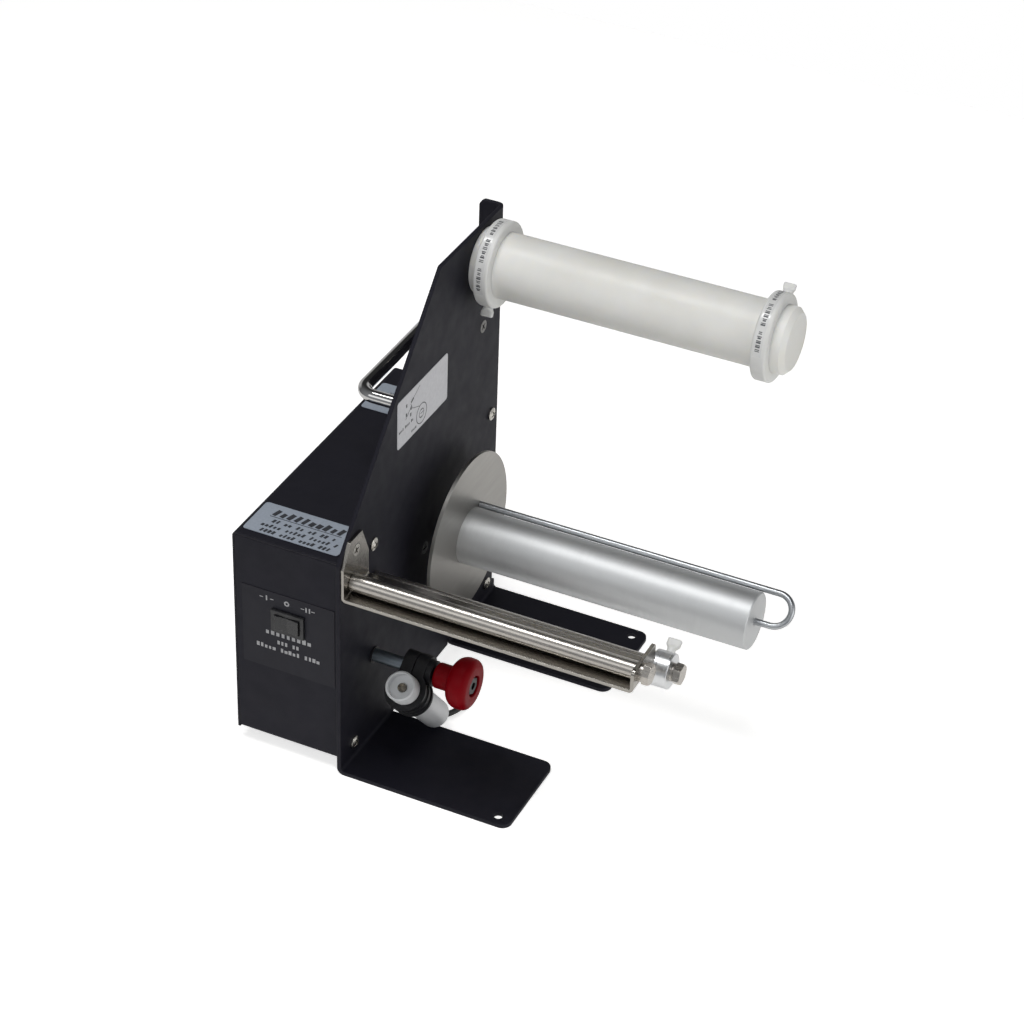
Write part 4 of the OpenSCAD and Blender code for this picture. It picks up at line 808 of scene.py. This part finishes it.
# The same on both: angles in degrees, the rest in mm
tapeForm = {
    "width": 5.2,
    "thick": 0.03,
    "before": 6,
    "after": 8,
    "steps": 40,
    "pitch": 5.6,
    "gapEvery": 7,
    "pairAngle": 2.1,
    "strokes": (0.54, 0.9),
    "boldShare": 0.5,
    "tall": 2.7,
    "low": 1.9,
    "lowShare": 0.3,
    "markThick": 0.02,
}


def outward(angles):
    # The collars' outward direction: (0, -sin a, cos a)
    a = np.radians(angles)
    return np.stack([np.zeros_like(a), -np.sin(a), np.cos(a)], -1)


def aroundRoll(angles, x, radius):
    # On the cylinder round the roll's axis: (x, y - radius * sin a, z + radius * cos a)
    a = np.radians(angles)
    y, z = rollAxis
    return np.stack([np.full_like(a, x), y - radius * np.sin(a), z + radius * np.cos(a)], -1)


def makeTape(name, look, form):
    # A strip round the collar's rim, with pairs of short strokes on top
    x = look["middle"]
    angles = np.linspace(look["fromAngle"] - form["before"], look["toAngle"] + form["after"],
                         form["steps"])
    newPiece(name, [strip(aroundRoll(angles, x, rollRimRadius), form["width"], outward(angles),
                          thick=form["thick"])],
             "tape_clear", look["body"], sharp=printLook["sharp"])
    dice = np.random.default_rng(look["seed"])
    thin, bold = form["strokes"]
    grids = []
    for i, angle in enumerate(np.arange(look["fromAngle"], look["toAngle"], form["pitch"])):
        if i % form["gapEvery"] == form["gapEvery"] - 1:
            continue
        widths = (thin, bold) if dice.random() > form["boldShare"] else (thin, thin)
        for k, width in enumerate(widths):
            a = angle + form["pairAngle"] * k
            middle = aroundRoll(np.array([a]), x, rollRimRadius + form["thick"])[0]
            tall = form["tall"] if dice.random() > form["lowShare"] else form["low"]
            ends = np.array([middle - [tall / 2, 0, 0], middle + [tall / 2, 0, 0]])
            grids.append(strip(ends, width, outward(np.array([a, a])), thick=form["markThick"]))
    newPiece(name + "Marks", grids, "ink_grey", look["body"], sharp=printLook["sharp"])


for tapeName, look in tapeLooks.items():
    makeTape(tapeName, look, tapeForm)
print("prints made")

# Lengths in metres. The glow is the floor's own light on the object, the lift what the camera sees
floorLook = {
    "size": 0.9,
    "drop": 0.0002,
    "colour": (0.925, 0.91, 0.885),
    "rough": 0.9,
    "specular": 0.1,
    "glow": 0.33,
    "lift": 0.65,
}


def makeFloor(look):
    size, level = look["size"], -look["drop"]
    mesh = bpy.data.meshes.new("floor")
    mesh.from_pydata([(-size, -size, level), (size, -size, level), (size, size, level),
                      (-size, size, level)], [], [(0, 1, 2, 3)])
    floor = bpy.data.objects.new("floor", mesh)
    bpy.context.scene.collection.objects.link(floor)
    material, tree, shader = newMaterial("floorWhite")
    shader.inputs["Base Color"].default_value = (*look["colour"], 1)
    shader.inputs["Roughness"].default_value = look["rough"]
    shader.inputs["Specular IOR Level"].default_value = look["specular"]
    # Seen by the camera the floor is a little brighter, so that it meets the white background
    path = tree.nodes.new("ShaderNodeLightPath")
    shader.inputs["Emission Color"].default_value = (1, 1, 1, 1)
    glow = spread(tree, path.outputs["Is Camera Ray"], look["glow"], look["lift"], 0, 1)
    tree.links.new(glow, shader.inputs["Emission Strength"])
    # Clear from below, so that a view from there shows the underside
    geometry = tree.nodes.new("ShaderNodeNewGeometry")
    clear = tree.nodes.new("ShaderNodeBsdfTransparent")
    sides = tree.nodes.new("ShaderNodeMixShader")
    output = next(n for n in tree.nodes if n.type == "OUTPUT_MATERIAL")
    tree.links.new(geometry.outputs["Backfacing"], sides.inputs["Fac"])
    tree.links.new(shader.outputs["BSDF"], sides.inputs[1])
    tree.links.new(clear.outputs["BSDF"], sides.inputs[2])
    tree.links.new(sides.outputs["Shader"], output.inputs["Surface"])
    mesh.materials.append(material)


makeFloor(floorLook)

# Strengths of the studio's light, and where its parts begin and end along Y and Z of the view direction
worldLook = {
    "colour": (0.93, 0.96, 1.0),
    "front": 0.33,
    "back": 0.01,
    "frontFrom": -0.8,
    "backFrom": 0.6,
    "white": 1.0,
    "mirrorShare": 0.03,
    "sweepShare": 0.55,
    "sweepLow": 0.30,
    "sweepHigh": 0.46,
    "sweepNear": 0.1,
    "sweepFar": 0.4,
}


def makeWorld(look):
    world = bpy.data.worlds.new("studio")
    bpy.context.scene.world = world
    world.use_nodes = True
    tree = world.node_tree
    tree.nodes.clear()
    output = tree.nodes.new("ShaderNodeOutputWorld")
    ambient = tree.nodes.new("ShaderNodeBackground")
    ambient.inputs["Color"].default_value = (*look["colour"], 1)
    # Brighter in front of the object than behind it
    direction = tree.nodes.new("ShaderNodeTexCoord")
    parts = tree.nodes.new("ShaderNodeSeparateXYZ")
    tree.links.new(direction.outputs["Generated"], parts.inputs["Vector"])
    strength = spread(tree, parts.outputs["Y"], look["front"], look["back"],
                      look["frontFrom"], look["backFrom"])
    tree.links.new(strength, ambient.inputs["Strength"])
    white = tree.nodes.new("ShaderNodeBackground")
    white.inputs["Color"].default_value = (1, 1, 1, 1)
    white.inputs["Strength"].default_value = look["white"]
    # The camera sees the white in full. Metal and glass see a share of it, most of it low behind the object
    path = tree.nodes.new("ShaderNodeLightPath")
    low = spread(tree, parts.outputs["Z"], look["sweepShare"], 0, look["sweepLow"], look["sweepHigh"])
    behind = spread(tree, parts.outputs["Y"], 0, 1, look["sweepNear"], look["sweepFar"])
    share = mathNode(tree, "ADD", mathNode(tree, "MULTIPLY", low, behind), look["mirrorShare"])
    mirrored = mathNode(tree, "MAXIMUM", path.outputs["Is Glossy Ray"],
                        path.outputs["Is Transmission Ray"])
    mirrored = mathNode(tree, "MULTIPLY", mirrored, share)
    mix = tree.nodes.new("ShaderNodeMixShader")
    tree.links.new(mathNode(tree, "MAXIMUM", path.outputs["Is Camera Ray"], mirrored), mix.inputs["Fac"])
    tree.links.new(ambient.outputs["Background"], mix.inputs[1])
    tree.links.new(white.outputs["Background"], mix.inputs[2])
    tree.links.new(mix.outputs["Shader"], output.inputs["Surface"])


makeWorld(worldLook)

# Area lamps: place and aim in plate coordinates, size in metres, power in watts
lampLooks = {
    "overhead": dict(place=(-100, -150, 1500), aim=(60, 100, 120), size=(1.1, 0.16), power=10),
    "right": dict(place=(1300, -50, 520), aim=(60, 100, 120), size=(0.9, 0.9), power=4.5),
    "front": dict(place=(-250, -1150, 950), aim=(40, 60, 120), size=(1.5, 0.6), power=3.2),
}


def makeLamps(lamps):
    for name, look in lamps.items():
        data = bpy.data.lights.new(name, "AREA")
        data.shape = "RECTANGLE"
        data.size, data.size_y = look["size"]
        data.energy = look["power"]
        lamp = bpy.data.objects.new(name, data)
        bpy.context.scene.collection.objects.link(lamp)
        place, aim = Vector(toRow(look["place"])), Vector(toRow(look["aim"]))
        lamp.location = place
        lamp.rotation_mode = "QUATERNION"
        lamp.rotation_quaternion = (aim - place).to_track_quat("-Z", "Y")


makeLamps(lampLooks)
print("floor, world and lamps ready")
